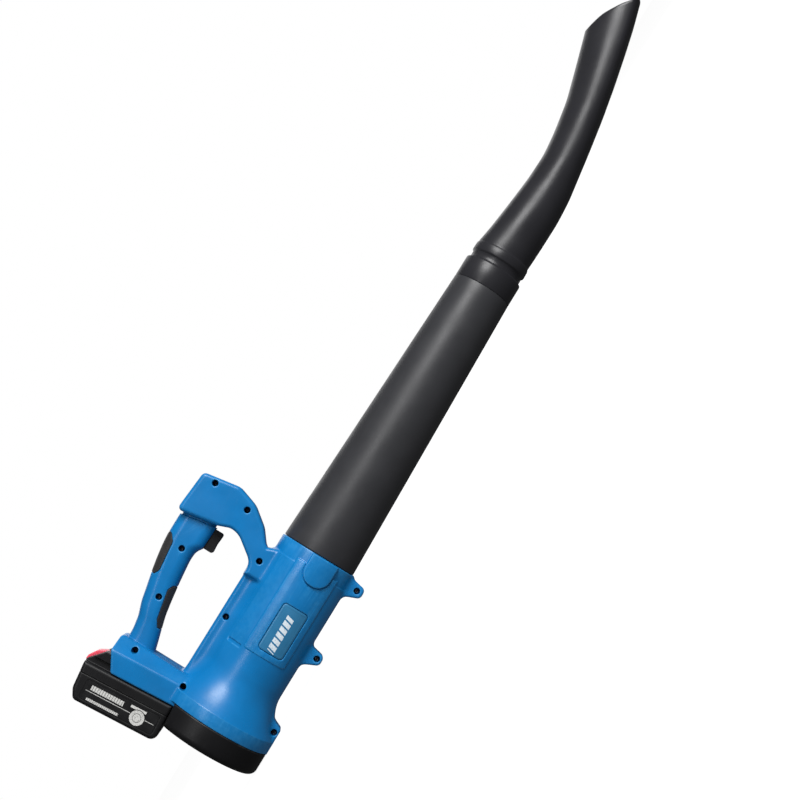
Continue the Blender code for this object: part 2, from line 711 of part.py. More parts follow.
def ring(name, rear, front, inner, outer, steps=SMALL_STEPS):
    return turned(name, [(rear, inner), (rear, outer), (front, outer), (front, inner)], steps)


def make_stator(looks, frame):
    rear, front = MOTOR_REAR_X + 0.0010, -0.1120
    sleeve = ring("stator", rear, front, 0.0215, 0.0230, 24)
    shell = ring("shell", rear, front, DUCT_R - GAP - 0.0016, DUCT_R - GAP, ROUND_STEPS)
    vanes = []
    for index in range(STATOR_VANES):
        vane = blade("vane", rear + 0.0015, front - 0.0015, 0.0222, DUCT_R - GAP - 0.0008,
                     math.radians(-12), math.radians(-14), 0.0, 0.0016)
        vanes.append(moved(vane, Matrix.Rotation(math.tau * index / STATOR_VANES, 4, "X")))
    union(sleeve, joined("vanes", vanes), shell)
    finish(sleeve, "stator_vanes", looks["fan"], frame)


def make_motor(looks, frame):
    can_wall = 0.0012
    bore = 0.0053
    rear = MOTOR_REAR_X
    can = turned("can", [(rear, bore), (rear, MOTOR_R), (MOTOR_FRONT_X - GAP, MOTOR_R),
                         (MOTOR_FRONT_X - GAP, MOTOR_R - can_wall),
                         (rear + 0.0045, MOTOR_R - can_wall), (rear + 0.0045, bore)], SMALL_STEPS)
    finish(can, "motor_can", looks["steel"], frame)
    front = MOTOR_FRONT_X
    bell = turned("end_bell", [(front, bore), (front, MOTOR_R), (front + 0.0060, MOTOR_R),
                               (front + 0.0090, 0.0110), (front + 0.0090, bore)], SMALL_STEPS)
    finish(bell, "motor_end_bell", looks["black"], frame)
    for name, start in (("rear_bearing", rear + 0.0003), ("front_bearing", front + 0.0040)):
        finish(ring(name, start, start + 0.0040, SHAFT_R + GAP, bore - GAP), name, looks["steel"], frame)
    shaft = rod("shaft", (FAN_REAR_X - 0.0090, 0, 0), (front + 0.0075, 0, 0), SHAFT_R, 12)
    finish(shaft, "motor_shaft", looks["steel"], frame)
    core = ring("core", rear + 0.0120, front - 0.0100, SHAFT_R + GAP, 0.0130)
    finish(core, "rotor_core", looks["copper"], frame)
    nut_rear = FAN_REAR_X - 0.0033
    nut = ring("nut", nut_rear - 0.0030, nut_rear, SHAFT_R + GAP, 0.0038, 6)
    finish(nut, "fan_nut", looks["steel"], frame)
    mount = ring("mount", rear + 0.0060, rear + 0.0300, MOTOR_R + GAP, 0.0212, SMALL_STEPS)
    finish(mount, "motor_rubber_mount", looks["rubber"], frame)
    cone_rear = -0.1117
    wall = 0.0014
    outer = ((cone_rear, 0.0230), (-0.0920, 0.0222), (-0.0720, 0.0165), (-0.0560, 0.0080))
    profile = list(outer) + [(-0.0520, 0.0030), (-0.0520, 0)]
    profile += [(-0.0540, 0)] + [(x, radius - wall) for x, radius in reversed(outer)]
    cone = turned("cone", profile, SMALL_STEPS)
    cut(cone, rod("lead_hole", (-0.0780, 0, 0.0080), (-0.0780, 0, 0.0300), 0.0056, 12))
    finish(cone, "tail_cone", looks["fan"], frame)


# ---- handle ------------------------------------------------------------------------------
def wire(name, route, radius):
    """Closed square-section wire along the points of a route."""
    curve = bpy.data.curves.new(name, "CURVE")
    curve.dimensions = "3D"
    curve.bevel_depth = radius
    curve.bevel_resolution = 0
    curve.use_fill_caps = True
    spline = curve.splines.new("POLY")
    spline.points.add(len(route) - 1)
    for point, place in zip(spline.points, route):
        point.co = (*place, 1)
    helper = bpy.data.objects.new("helper", curve)
    bpy.context.scene.collection.objects.link(helper)
    bpy.context.view_layer.update()
    source = helper.evaluated_get(bpy.context.evaluated_depsgraph_get())
    made = bpy.data.objects.new(name, bpy.data.meshes.new_from_object(source))
    bpy.context.scene.collection.objects.link(made)
    bpy.data.objects.remove(helper)
    return made


def spring(name, start, length, radius, thickness, turns, looks, frame):
    """Compression spring along +Z."""
    steps = turns * 8
    route = []
    for index in range(steps + 1):
        angle = math.tau * index * turns / steps
        rise = thickness + (length - 2 * thickness) * index / steps
        route.append((start[0] + radius * math.cos(angle), start[1] + radius * math.sin(angle),
                      start[2] + rise))
    finish(wire(name, route, thickness), name, looks["steel"], frame)


def make_trigger(looks, frame):
    corners = ((TRIGGER_REAR_X, 0.1000, 0.002), (-0.0500, 0.1012, 0.020),
               (TRIGGER_FRONT_X, 0.1000, 0.002), (TRIGGER_FRONT_X, 0.1165, 0), (-0.0335, 0.1165, 0), (-0.0335, 0.1210, 0),
               (-0.0635, 0.1210, 0), (-0.0635, 0.1197, 0), (TRIGGER_REAR_X, 0.1197, 0))
    blade_part = side_prism("trigger", corners, -TRIGGER_HALF, TRIGGER_HALF)
    pocket = rod("pocket", (-0.0560, 0, 0.1120), (-0.0560, 0, 0.1300), 0.0042, 12)
    cut(blade_part, pocket)
    finish(blade_part, "trigger", looks["black"], frame)
    spring("trigger_spring", (-0.0560, 0, 0.1123), 0.0150, 0.0030, 0.0004, 5, looks, frame)


def make_switch(looks, frame):
    body = box("switch", (-0.0655, -0.0088, 0.1276), (-0.0340, 0.0088, 0.1460))
    finish(body, "switch_body", looks["black"], frame)
    board = in_pack_frame(box("board", (0.0715, -0.0190, 0.0440), (0.0731, 0.0190, 0.0600)))
    finish(board, "control_board", looks["board"], frame)


def make_terminals(looks, frame):
    low, high = 0.0063, 0.0402
    block = in_pack_frame(box("terminals", (0.0609, -0.0202, low), (0.0700, 0.0202, high)))
    finish(block, "terminal_block", looks["black"], frame)
    for name, side in (("positive_blade", -0.0130), ("negative_blade", 0.0130)):
        tab = in_pack_frame(box(name, (0.0535, side - 0.0004, low + 0.0040),
                                (0.0606, side + 0.0004, high - 0.0100)))
        finish(tab, name, looks["copper"], frame)


def lead(name, route, look, frame):
    """Insulated wire along a smooth curve through its route."""
    finish(wire(name, smooth_route(route, 2), LEAD_R), name, look, frame)


def smooth_route(route, steps):
    """Catmull-Rom curve through the route's points."""
    knots = [Vector(point) for point in route]
    knots = [knots[0] * 2 - knots[1]] + knots + [knots[-1] * 2 - knots[-2]]
    points = []
    for a, b, c, d in zip(knots, knots[1:], knots[2:], knots[3:]):
        for step in range(steps):
            t = step / steps
            points.append(0.5 * (2 * b + (c - a) * t + (2 * a - 5 * b + 4 * c - d) * t * t
                                 + (3 * b - a - 3 * c + d) * t ** 3))
    points.append(knots[-2])
    return points


def make_leads(looks, frame):
    for side, sign, colour in (("positive", -1, "red_wire"), ("negative", 1, "black_wire")):
        y = 0.0050 * sign
        supply = [(-0.1905, 2.2 * y, 0.0700), (-0.1895, 2.0 * y, 0.0860), (-0.1885, 1.6 * y, 0.1020),
                  (-0.1780, y, 0.1170), (-0.1500, y, 0.1180), (-0.1300, y, 0.1335),
                  (-0.1000, y, 0.1390), (-0.0800, y, 0.1420), (-0.0662, y, 0.1400)]
        lead(f"battery_lead_{side}", supply, looks[colour], frame)
        y = 0.0016 * sign
        feed = [(-0.0335, y * 2, 0.1400), (-0.0220, y * 2, 0.1340), (-0.0150, y * 2, 0.1100),
                (-0.0150, y * 2, 0.0850), (-0.0260, y * 2, 0.0690), (-0.0400, y, 0.0603),
                (-0.0495, y, 0.0555), (WIRE_HOLE_X, y, 0.0490), (WIRE_HOLE_X, y, 0.0430),
                (-0.0580, y, 0.0380), (-0.0690, y, 0.0330), (-0.0775, y, 0.0260),
                (-0.0785, y * 2, 0.0150), (-0.0815, y * 2, 0.0090)]
        lead(f"motor_lead_{side}", feed, looks[colour], frame)


# ---- tube and nozzle -----------------------------------------------------------------------
def make_tube(looks, frame):
    inner_spigot = TUBE_SPIGOT_R - TUBE_WALL
    profile = [(TUBE_SPIGOT_X, inner_spigot), (TUBE_SPIGOT_X, TUBE_SPIGOT_R), (-0.0002, TUBE_SPIGOT_R),
               (-0.0002, TUBE_REAR_R), (TUBE_END_X, TUBE_FRONT_R), (TUBE_END_X, NOZZLE_SPIGOT_R),
               (NOZZLE_SPIGOT_X, NOZZLE_SPIGOT_R - 0.0003),
               (NOZZLE_SPIGOT_X, NOZZLE_SPIGOT_R - TUBE_WALL),
               (TUBE_END_X - 0.0050, NOZZLE_SPIGOT_R - TUBE_WALL),
               (TUBE_NECK_X, TUBE_NECK_R - TUBE_WALL), (0.0100, TUBE_REAR_R - TUBE_WALL)]
    tube = turned("tube", profile)
    lock = math.degrees(BAYONET_LOCK)
    for turn in (0, math.pi):
        key = ring_block("key", (-0.0210, -0.0140), (TUBE_SPIGOT_R - 0.0010, 0.0446),
                         (lock - 3.7, lock + 3.7), 2)
        union(tube, moved(key, Matrix.Rotation(turn, 4, "X")))
    groove = ring("groove", -0.0090, -0.0060, TUBE_SPIGOT_R - 0.0012, TUBE_SPIGOT_R + 0.001, ROUND_STEPS)
    cut(tube, groove)
    finish(tube, "blower_tube", looks["tube"], frame)
    seal = ring("seal", -0.0087, -0.0063, TUBE_SPIGOT_R - 0.0009, TUBE_SPIGOT_R + 0.0001, 36)
    finish(seal, "tube_seal_ring", looks["rubber"], frame)


# x, underside z, top z, half width and height of the widest line, as a share of the section
NOZZLE_STATIONS = (
    (0.4000, -0.0325, 0.0310, 0.0318, 0.50), (0.4300, -0.0332, 0.0278, 0.0316, 0.50),
    (0.4600, -0.0336, 0.0246, 0.0315, 0.48), (0.4900, -0.0315, 0.0220, 0.0315, 0.46),
    (0.5200, -0.0268, 0.0212, 0.0320, 0.44), (0.5500, -0.0222, 0.0245, 0.0328, 0.42),
    (0.5900, -0.0154, 0.0316, 0.0340, 0.40), (0.6300, -0.0073, 0.0432, 0.0356, 0.37),
    (0.6700, 0.0018, 0.0552, 0.0372, 0.34), (0.7000, 0.0092, 0.0642, 0.0382, 0.32),
    (0.7300, 0.0180, 0.0735, 0.0388, 0.30),
)


def nozzle_section(x, low, high, half, crest, inset, sides=24):
    """Egg-shaped section, widest at the crest."""
    widest = low + (high - low) * crest
    ring_points = []
    for index in range(sides):
        angle = math.tau * index / sides
        c, s = math.cos(angle), math.sin(angle)
        rise = (high - widest if s > 0 else widest - low) - inset
        swell = 1.0 + 0.25 * (0.5 - crest) * (1 if s > 0 else -1.2)
        y = (half - inset) * math.copysign(abs(c) ** swell, c)
        ring_points.append((x, y, widest + rise * s))
    return ring_points


def nozzle_round(x, radius, inset, sides=24):
    arms = [math.tau * index / sides for index in range(sides)]
    return [(x, (radius - inset) * math.cos(arm), (radius - inset) * math.sin(arm)) for arm in arms]


def nozzle_form(name, inset, with_collar):
    rings = []
    if with_collar:
        start = TUBE_END_X + GAP
        for x, radius in ((start, 0.0347), (0.3740, 0.0347), (0.3765, 0.0317), (0.3835, 0.0317),
                          (0.3850, 0.0334), (0.3940, 0.0332), (0.3955, 0.0322), (0.3975, 0.0322)):
            rings.append(nozzle_round(x, radius, 0))
    else:
        rings.append(nozzle_round(0.3600, 0.0322, inset))
        rings.append(nozzle_round(0.3850, 0.0322, inset))
    for station in NOZZLE_STATIONS:
        rings.append(nozzle_section(*station, inset))
    return loft(name, rings)


def mouth_cutter():
    """Space ahead of the mouth: a long convex scoop line from the top edge to the lower lip."""
    corners = ((0.6715, 0.1200, 0), (0.6715, 0.0556, 0.003), (0.6890, 0.0495, 0.040),
               (0.7085, 0.0365, 0.040), (0.7275, 0.0205, 0.002), (0.7245, -0.0100, 0),
               (0.7800, -0.0100, 0), (0.7800, 0.1200, 0))
    return side_prism("mouth", corners, -0.0600, 0.0600, arc_steps=4)


def make_nozzle(looks, frame):
    nozzle = nozzle_form("nozzle", 0, True)
    bore = nozzle_form("bore", NOZZLE_WALL, False)
    socket = rod("socket", (0.3400, 0, 0), (NOZZLE_SPIGOT_X + 0.0004, 0, 0),
                 NOZZLE_SPIGOT_R + GAP, ROUND_STEPS)
    cut(nozzle, bore, socket, mouth_cutter())
    finish(nozzle, "nozzle", looks["tube"], frame)


# ---- battery pack --------------------------------------------------------------------------
PACK_SIDE = ((0.0, 0.0, 0.008), (PACK_DEPTH, 0.0, 0.0), (PACK_DEPTH, PACK_LENGTH, 0.0),
             (0.0380, PACK_LENGTH, 0.0), (0.0110, 0.1048, 0.0), (0.0, 0.0992, 0.004))


def pack_body(low, high, inset=0.0):
    """Pack between two depths, smaller by an inset."""
    edge = 0.0 if inset else 0.0035
    solid = side_prism("pack", PACK_SIDE, -PACK_HALF + inset, PACK_HALF - inset, edge, inset)
    slab = box("slab", (low, -0.06, -0.01), (high, 0.06, 0.13))
    return boolean(solid, slab, "INTERSECT")


def make_pack_cases(looks, frame):
    wall = 0.0022
    lower = pack_body(-0.01, PACK_SPLIT - GAP)
    cut(lower, pack_body(-0.01, PACK_SPLIT + 0.01, wall))
    finish(in_pack_frame(lower), "battery_lower_case", looks["black"], frame)

    upper = pack_body(PACK_SPLIT, 0.06)
    deck_plan = [(0.0380, -DECK_NECK_HALF), (DECK_NECK_DEPTH, -DECK_NECK_HALF),
                 (DECK_NECK_DEPTH, -DECK_HALF), (DECK_DEPTH, -DECK_HALF),
                 (DECK_DEPTH, DECK_HALF), (DECK_NECK_DEPTH, DECK_HALF),
                 (DECK_NECK_DEPTH, DECK_NECK_HALF), (0.0380, DECK_NECK_HALF)]
    deck = rail_prism("deck", deck_plan, 0.0022, PACK_LENGTH)
    slope = ((0.0430, PACK_LENGTH + 0.001, 0), (DECK_DEPTH + 0.001, 0.0900, 0),
             (DECK_DEPTH + 0.001, 0.1200, 0), (0.0430, 0.1200, 0))
    cut(deck, side_prism("deck_slope", slope, -0.05, 0.05))
    union(upper, deck)
    hollow = box("hollow", (PACK_SPLIT - 0.01, -PACK_HALF + wall, wall),
                 (PACK_DEPTH - wall, PACK_HALF - wall, 0.0860))
    cut(upper, hollow)
    slots = []
    for side in (-0.0130, 0.0130):
        slots.append(box("slot", (0.0520, side - 0.0014, -0.001), (0.0700, side + 0.0014, 0.0330)))
    slots.append(side_prism("button_well", BUTTON_WELL, -BUTTON_HALF - GAP, BUTTON_HALF + GAP))
    cut(upper, *slots)
    finish(in_pack_frame(upper), "battery_upper_case", looks["black"], frame)


BUTTON_CORNERS = ((0.0410, 0.1090, 0.001), (0.0462, 0.1082, 0.004), (0.0552, 0.1012, 0.006),
                  (0.0588, 0.0940, 0.002), (0.0588, 0.0900, 0), (0.0525, 0.0900, 0), (0.0410, 0.1010, 0))
BUTTON_WELL = ((0.0350, 0.1200, 0), (0.0350, 0.1000, 0), (0.0470, 0.0890, 0), (0.0700, 0.0890, 0),
               (0.0700, 0.1200, 0))


def make_button(looks, frame):
    button = side_prism("button", BUTTON_CORNERS, -BUTTON_HALF, BUTTON_HALF)
    pocket = rod("pocket", (0.0350, 0, 0.1040), (0.0470, 0, 0.1000), 0.0026, 10)
    cut(button, pocket)
    finish(in_pack_frame(button), "battery_button", looks["red"], frame)


def make_cells(looks, frame):
    """Row of cells that lie across the pack, and the board in front of them."""
    pitch = 2 * CELL_R + 0.0006
    half = CELL_LENGTH / 2
    for index in range(CELL_COUNT):
        height = CELL_FIRST_Z + pitch * index
        cell = rod("cell", (CELL_AXIS_DEPTH, -half, height), (CELL_AXIS_DEPTH, half, height), CELL_R, 14)
        finish(in_pack_frame(cell), f"battery_cell_{index + 1}", looks["cell"], frame)
    board = box("cell_board", (0.0310, -0.0300, 0.0100), (0.0326, 0.0300, 0.0780))
    finish(in_pack_frame(board), "battery_board", looks["board"], frame)


def make_labels(looks, frame):
    low, high = 0.0070, 0.0940
    for name, side in (("right_pack_label", -1), ("left_pack_label", 1)):
        start, end = sorted((side * (PACK_HALF + GAP), side * (PACK_HALF + 0.0006)))
        corners = ((0.0055, low, 0.002), (0.0265, low, 0.002), (0.0265, high, 0.002),
                   (0.0055, high, 0.002))
        label = side_prism(name, corners, start, end, arc_steps=2)
        finish(in_pack_frame(label), name, looks["label"], frame)


def main():
    for old in list(bpy.data.objects):
        bpy.data.objects.remove(old)
    looks = make_materials()
    frame = bpy.data.objects.new("blower_frame", None)
    frame.location = (-CENTRE_X, 0, BASE_R)
    bpy.context.scene.collection.objects.link(frame)
    make_housing(looks, frame)
    make_inlays(looks, frame)
    make_name_plate(looks, frame)
    make_cap(looks, frame)
    make_screws(looks, frame)
    make_impeller(looks, frame)
    make_stator(looks, frame)
    make_motor(looks, frame)
    make_trigger(looks, frame)
    make_switch(looks, frame)
    make_terminals(looks, frame)
    make_leads(looks, frame)
    make_tube(looks, frame)
    make_nozzle(looks, frame)
    make_pack_cases(looks, frame)
    make_button(looks, frame)
    make_cells(looks, frame)
    make_labels(looks, frame)
    bpy.context.view_layer.update()


main()
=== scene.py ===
"""Looks of the cordless leaf blower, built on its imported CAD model.

Shapes are written in the design axes of the CAD model: x runs forward along the air flow with
x = 0 at the front edge of the collar, z is height above the air axis, and the right-hand shell is
on the -Y side. Moulded pieces are described as distance fields on a lattice, so that their joins
and edges get the fillets of a moulding. Every length is in metres.
"""

import functools
import math

import bmesh
import bpy
import numpy as np
from mathutils import Matrix, Vector


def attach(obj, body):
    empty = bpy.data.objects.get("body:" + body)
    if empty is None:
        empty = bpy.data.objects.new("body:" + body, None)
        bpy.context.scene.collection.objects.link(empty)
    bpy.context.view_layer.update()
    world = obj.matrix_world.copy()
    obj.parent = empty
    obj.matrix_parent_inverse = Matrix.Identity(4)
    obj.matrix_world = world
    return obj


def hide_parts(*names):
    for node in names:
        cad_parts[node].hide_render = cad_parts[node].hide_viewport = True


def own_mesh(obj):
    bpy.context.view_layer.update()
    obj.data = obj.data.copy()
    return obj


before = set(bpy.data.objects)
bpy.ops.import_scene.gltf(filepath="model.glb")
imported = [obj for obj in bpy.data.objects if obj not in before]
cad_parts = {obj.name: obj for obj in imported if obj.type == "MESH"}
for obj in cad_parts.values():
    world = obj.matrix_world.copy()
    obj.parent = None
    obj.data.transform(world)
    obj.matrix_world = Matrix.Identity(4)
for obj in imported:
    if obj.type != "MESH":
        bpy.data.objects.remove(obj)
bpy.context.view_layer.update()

# ---- dimensions shared by the pieces ----
CENTRE_X = 0.22946            # middle of the object's length, from the collar's front edge
AXIS_Z = 0.0655               # height of the air axis above the floor
GAP = 0.0003                  # clearance at the joints
WALL = 0.0026
BASE_R = 0.0655
BARREL_R = 0.0465
COLLAR_R = 0.0456
DUCT_R = BARREL_R - WALL
TILT = math.radians(3.9)      # lean of the battery rails
PACK_CORNER = Vector((-0.2619, 0, 0.0453))
PACK_DEPTH = 0.0423
PACK_LENGTH = 0.1068
PACK_HALF = 0.0370
PACK_SPLIT = 0.0300
PACK_EDGE = 0.0040            # rounding of the pack's long edges
PACK_WALL = 0.0022
FOOT_DEPTH = PACK_DEPTH + GAP
SPIGOT_R = 0.0426             # rear spigot of the tube
ROUGH_LATTICE = 1.0    # coarser lattice while trying things

# x and z of each housing screw, and the depth of its seat from the centre plane
HOUSING_SCREWS = (
    (0.0066, 0.1380, 0.0130), (0.0000, 0.0927, 0.0130), (-0.0405, 0.0519, 0.0110),
    (-0.0731, 0.1316, 0.0090), (-0.1305, 0.1247, 0.0090), (-0.1108, 0.0510, 0.0100),
    (-0.1915, 0.1153, 0.0140), (-0.1965, 0.0502, 0.0140), (-0.0126, -0.0566, 0.0070),
    (-0.0984, -0.0580, 0.0070), (-0.1900, -0.0600, 0.0070),
)
SEAT_R = 0.0036               # opening over each screw's head
BOSS_R = 0.0046               # solid post round each screw
SCREW_REACH = 0.0100          # past the centre plane


def to_world():
    """Design axes to the row frame."""
    return Matrix.Translation((-CENTRE_X, 0, AXIS_Z))


def add_object(name, data):
    """New object in the scene."""
    made = bpy.data.objects.new(name, data)
    bpy.context.scene.collection.objects.link(made)
    return made


def pack_axes():
    """Pack's own axes, with x into the handle and z along the rails, to the design axes."""
    return Matrix.Translation(PACK_CORNER) @ Matrix.Rotation(-TILT, 4, "Y")


# ---- outlines ----
def rounded(corners, steps=7):
    """Closed outline with each corner (u, v, radius) turned into an arc."""
    outline = []
    for index, (u, v, radius) in enumerate(corners):
        point = Vector((u, v))
        back = (Vector(corners[index - 1][:2]) - point).normalized()
        ahead = (Vector(corners[(index + 1) % len(corners)][:2]) - point).normalized()
        angle = back.angle(ahead)
        if radius <= 0 or angle > 3.1:
            outline.append((u, v))
            continue
        reach = radius / math.tan(angle / 2)
        centre = point + (back + ahead).normalized() * radius / math.sin(angle / 2)
        start = point + back * reach - centre
        end = point + ahead * reach - centre
        sweep = math.pi - angle
        for step in range(steps + 1):
            share = step / steps
            arm = start * math.sin((1 - share) * sweep) + end * math.sin(share * sweep)
            outline.append(tuple(centre + arm / math.sin(sweep)))
    return outline


def rectangle(u0, v0, u1, v1, radius=0.0):
    """Outline of an upright rectangle between two opposite corners."""
    return rounded(((u0, v0, radius), (u1, v0, radius), (u1, v1, radius), (u0, v1, radius)))


def outline_distance(u, v, outline):
    """Distance from points to a closed outline, negative inside it."""
    shape = np.broadcast(u, v).shape
    nearest = np.full(shape, 1e9, np.float32)
    inside = np.zeros(shape, bool)
    for (au, av), (bu, bv) in zip(outline, outline[1:] + outline[:1]):
        along_u, along_v = bu - au, bv - av
        length = along_u ** 2 + along_v ** 2
        if length < 1e-14:
            continue
        off_u, off_v = u - au, v - av
        share = np.clip((off_u * along_u + off_v * along_v) / length, 0, 1)
        square = (off_u - along_u * share) ** 2 + (off_v - along_v * share) ** 2
        nearest = np.minimum(nearest, square)
        if av != bv:
            inside ^= ((av > v) != (bv > v)) & (off_u < off_v * (along_u / along_v))
    return np.where(inside, -np.sqrt(nearest), np.sqrt(nearest)).astype(np.float32)


# ---- distance fields ----
class Lattice:
    """Even lattice of points that distance fields are worked out on."""

    def __init__(self, low, high, step):
        self.step = step * ROUGH_LATTICE
        self.low = np.array(low, float) - 2 * self.step
        counts = np.ceil((np.array(high) + 2 * self.step - self.low) / self.step).astype(int) + 1
        lines = [(self.low[k] + self.step * np.arange(counts[k])).astype(np.float32) for k in range(3)]
        self.x = lines[0][:, None, None]
        self.y = lines[1][None, :, None]
        self.z = lines[2][None, None, :]
        self.ring = np.sqrt(self.y ** 2 + self.z ** 2)

    def slab(self, outline, half, edge, middle=0.0):
        """Outline in x and z, drawn out to half on each side of the middle, with rounded edges."""
        flat = outline_distance(self.x, self.z, outline) + edge
        return round_join(flat, np.abs(self.y - middle) - half + edge, edge)

    def prism(self, outline, upside_down=False):
        """Outline in x and z without ends."""
        return outline_distance(self.x, -self.z if upside_down else self.z, outline)

    def block(self, low, high, edge=0.0):
        """Box between two corners."""
        outline = rectangle(low[0], low[2], high[0], high[2])
        return self.slab(outline, (high[1] - low[1]) / 2, edge, (high[1] + low[1]) / 2)

    def from_line(self, x, z):
        """Distance from a line across the object, along y."""
        return np.sqrt((self.x - x) ** 2 + (self.z - z) ** 2)

    def turned(self, outline):
        """Solid of revolution about the air axis from an outline of (x, radius)."""
        spacing = 0.0003
        radius = self.ring[0]
        radii = spacing * np.arange(int(radius.max() / spacing) + 3)[None, :]
        table = outline_distance(self.x[:, :, 0], radii, outline)
        place = radius / spacing
        lower = place.astype(np.int32)
        share = (place - lower).astype(np.float32)[None]
        return table[:, lower] * (1 - share) + table[:, lower + 1] * share


def shared(*fields):
    """What all the solids have in common."""
    return functools.reduce(np.maximum, fields)


def united(*fields):
    """All the solids together."""
    return functools.reduce(np.minimum, fields)


def round_join(a, b, edge):
    """Solid inside both of two fields that were moved in by the edge radius."""
    return (np.minimum(np.maximum(a, b), 0) - edge
            + np.sqrt(np.maximum(a, 0) ** 2 + np.maximum(b, 0) ** 2))


def blend_min(a, b, reach):
    """Both solids, with a fillet where they meet."""
    share = np.maximum(reach - np.abs(a - b), 0) / reach
    return np.minimum(a, b) - share * share * reach * 0.25


def blend_max(a, b, reach):
    """What both solids share, with a rounded edge."""
    return -blend_min(-a, -b, reach)


CELL_CORNERS = [(i, j, k) for i in (0, 1) for j in (0, 1) for k in (0, 1)]


def sample(lattice, field, points):
    """Field at any points, by linear interpolation."""
    place = (points - lattice.low) / lattice.step
    base = np.clip(place.astype(int), 0, np.array(field.shape) - 2)
    share = place - base
    total = np.zeros(len(points))
    for corner in CELL_CORNERS:
        weight = np.prod(np.where(corner, share, 1 - share), axis=1)
        total += weight * field[tuple((base + corner).T)]
    return total


def slope(lattice, field, points):
    """Field's gradient at the points, and how sharply it bends outwards there."""
    reach = lattice.step
    middle = sample(lattice, field, points)
    gradient = np.zeros((len(points), 3))
    bend = np.zeros(len(points))
    for axis in range(3):
        offset = np.zeros(3)
        offset[axis] = reach
        ahead = sample(lattice, field, points + offset)
        behind = sample(lattice, field, points - offset)
        gradient[:, axis] = (ahead - behind) / (2 * reach)
        bend += (ahead + behind - 2 * middle) / reach ** 2
    return middle, gradient, bend


def cell_mesh(lattice, field):
    """Points and four-sided faces of the field's zero surface, one point per crossed cell."""
    inside = field < 0
    shape = np.array(field.shape) - 1
    count = np.zeros(shape, np.int8)
    for i, j, k in CELL_CORNERS:
        count += inside[i:shape[0] + i, j:shape[1] + j, k:shape[2] + k]
    crossed = (count > 0) & (count < 8)
    cells = np.argwhere(crossed)
    number = np.full(crossed.shape, -1, np.int32)
    number[crossed] = np.arange(len(cells))
    values = {corner: field[tuple((cells + corner).T)] for corner in CELL_CORNERS}
    total = np.zeros((len(cells), 3))
    hits = np.zeros(len(cells))
    for a in CELL_CORNERS:
        for axis in range(3):
            if a[axis]:
                continue
            b = tuple(1 if k == axis else a[k] for k in range(3))
            cross = (values[a] < 0) != (values[b] < 0)
            share = np.where(cross, values[a] / np.where(cross, values[a] - values[b], 1), 0)
            total += cross[:, None] * (np.array(a) + share[:, None] * (np.array(b) - np.array(a)))
            hits += cross
    points = lattice.low + (cells + total / hits[:, None]) * lattice.step
    faces = []
    for axis in range(3):
        others = [k for k in range(3) if k != axis]
        near = np.take(inside, np.arange(shape[axis]), axis)
        far = np.take(inside, np.arange(1, shape[axis] + 1), axis)
        edges = np.argwhere(near != far)
        kept = np.all((edges[:, others] > 0) & (edges[:, others] < shape[others]), axis=1)
        edges = edges[kept]
        outward = near[tuple(edges.T)]
        one, two = np.eye(3, dtype=int)[others[0]], np.eye(3, dtype=int)[others[1]]
        ring = [number[tuple((edges - shift).T)] for shift in (one + two, two, 0 * one, one)]
        quads = np.stack(ring, axis=1)
        turn = outward if axis != 1 else ~outward
        quads[~turn] = quads[~turn][:, ::-1]
        faces.append(quads)
    return points, np.concatenate(faces)


def mesh_from_arrays(name, points, faces):
    """Mesh whose faces all have the same number of sides."""
    mesh = bpy.data.meshes.new(name)
    mesh.vertices.add(len(points))
    mesh.vertices.foreach_set("co", np.ascontiguousarray(points, np.float32).ravel())
    sides = faces.shape[1]
    mesh.loops.add(len(faces) * sides)
    mesh.loops.foreach_set("vertex_index", np.ascontiguousarray(faces, np.int32).ravel())
    mesh.polygons.add(len(faces))
    mesh.polygons.foreach_set("loop_start", np.arange(0, len(faces) * sides, sides, dtype=np.int32))
    mesh.update(calc_edges=True)
    return mesh


def moulded(name, lattice, field, triangles, axes=None):
    """Object for a field's surface, thinned to about this many triangles.

    Its points are moved onto the surface, and it has the field's normals and a share of wear
    along the outer edges.
    """
    points, faces = cell_mesh(lattice, field)
    piece = add_object(name, mesh_from_arrays(name, points, faces))
    ratio = triangles / (2 * len(faces))
    if ratio < 1:
        thin = piece.modifiers.new("thin", "DECIMATE")
        thin.ratio = ratio
        done = piece.evaluated_get(bpy.context.evaluated_depsgraph_get())
        piece.data = bpy.data.meshes.new_from_object(done)
        piece.data.name = name
        piece.modifiers.clear()
    mesh = piece.data
    points = np.zeros(len(mesh.vertices) * 3, np.float32)
    mesh.vertices.foreach_get("co", points)
    points = points.reshape(-1, 3).astype(float)
    for _ in range(2):
        value, gradient, _ = slope(lattice, field, points)
        size = np.maximum((gradient ** 2).sum(axis=1), 0.25)
        step = np.clip(value / size, -0.4 * lattice.step, 0.4 * lattice.step)
        points -= gradient * step[:, None]
    _, gradient, bend = slope(lattice, field, points)
    normals = gradient / np.maximum(np.linalg.norm(gradient, axis=1), 1e-9)[:, None]
    mesh.vertices.foreach_set("co", points.astype(np.float32).ravel())
    edge = mesh.attributes.new("edge", "FLOAT", "POINT")
    edge.data.foreach_set("value", np.clip(bend * 0.0012 - 0.12, 0, 1).astype(np.float32))
    move = to_world() @ (axes or Matrix())
    mesh.transform(move)
    turn = np.array(move.to_3x3())
    mesh.shade_smooth()
    mesh.normals_split_custom_set_from_vertices((normals @ turn.T).astype(np.float32))
    return piece


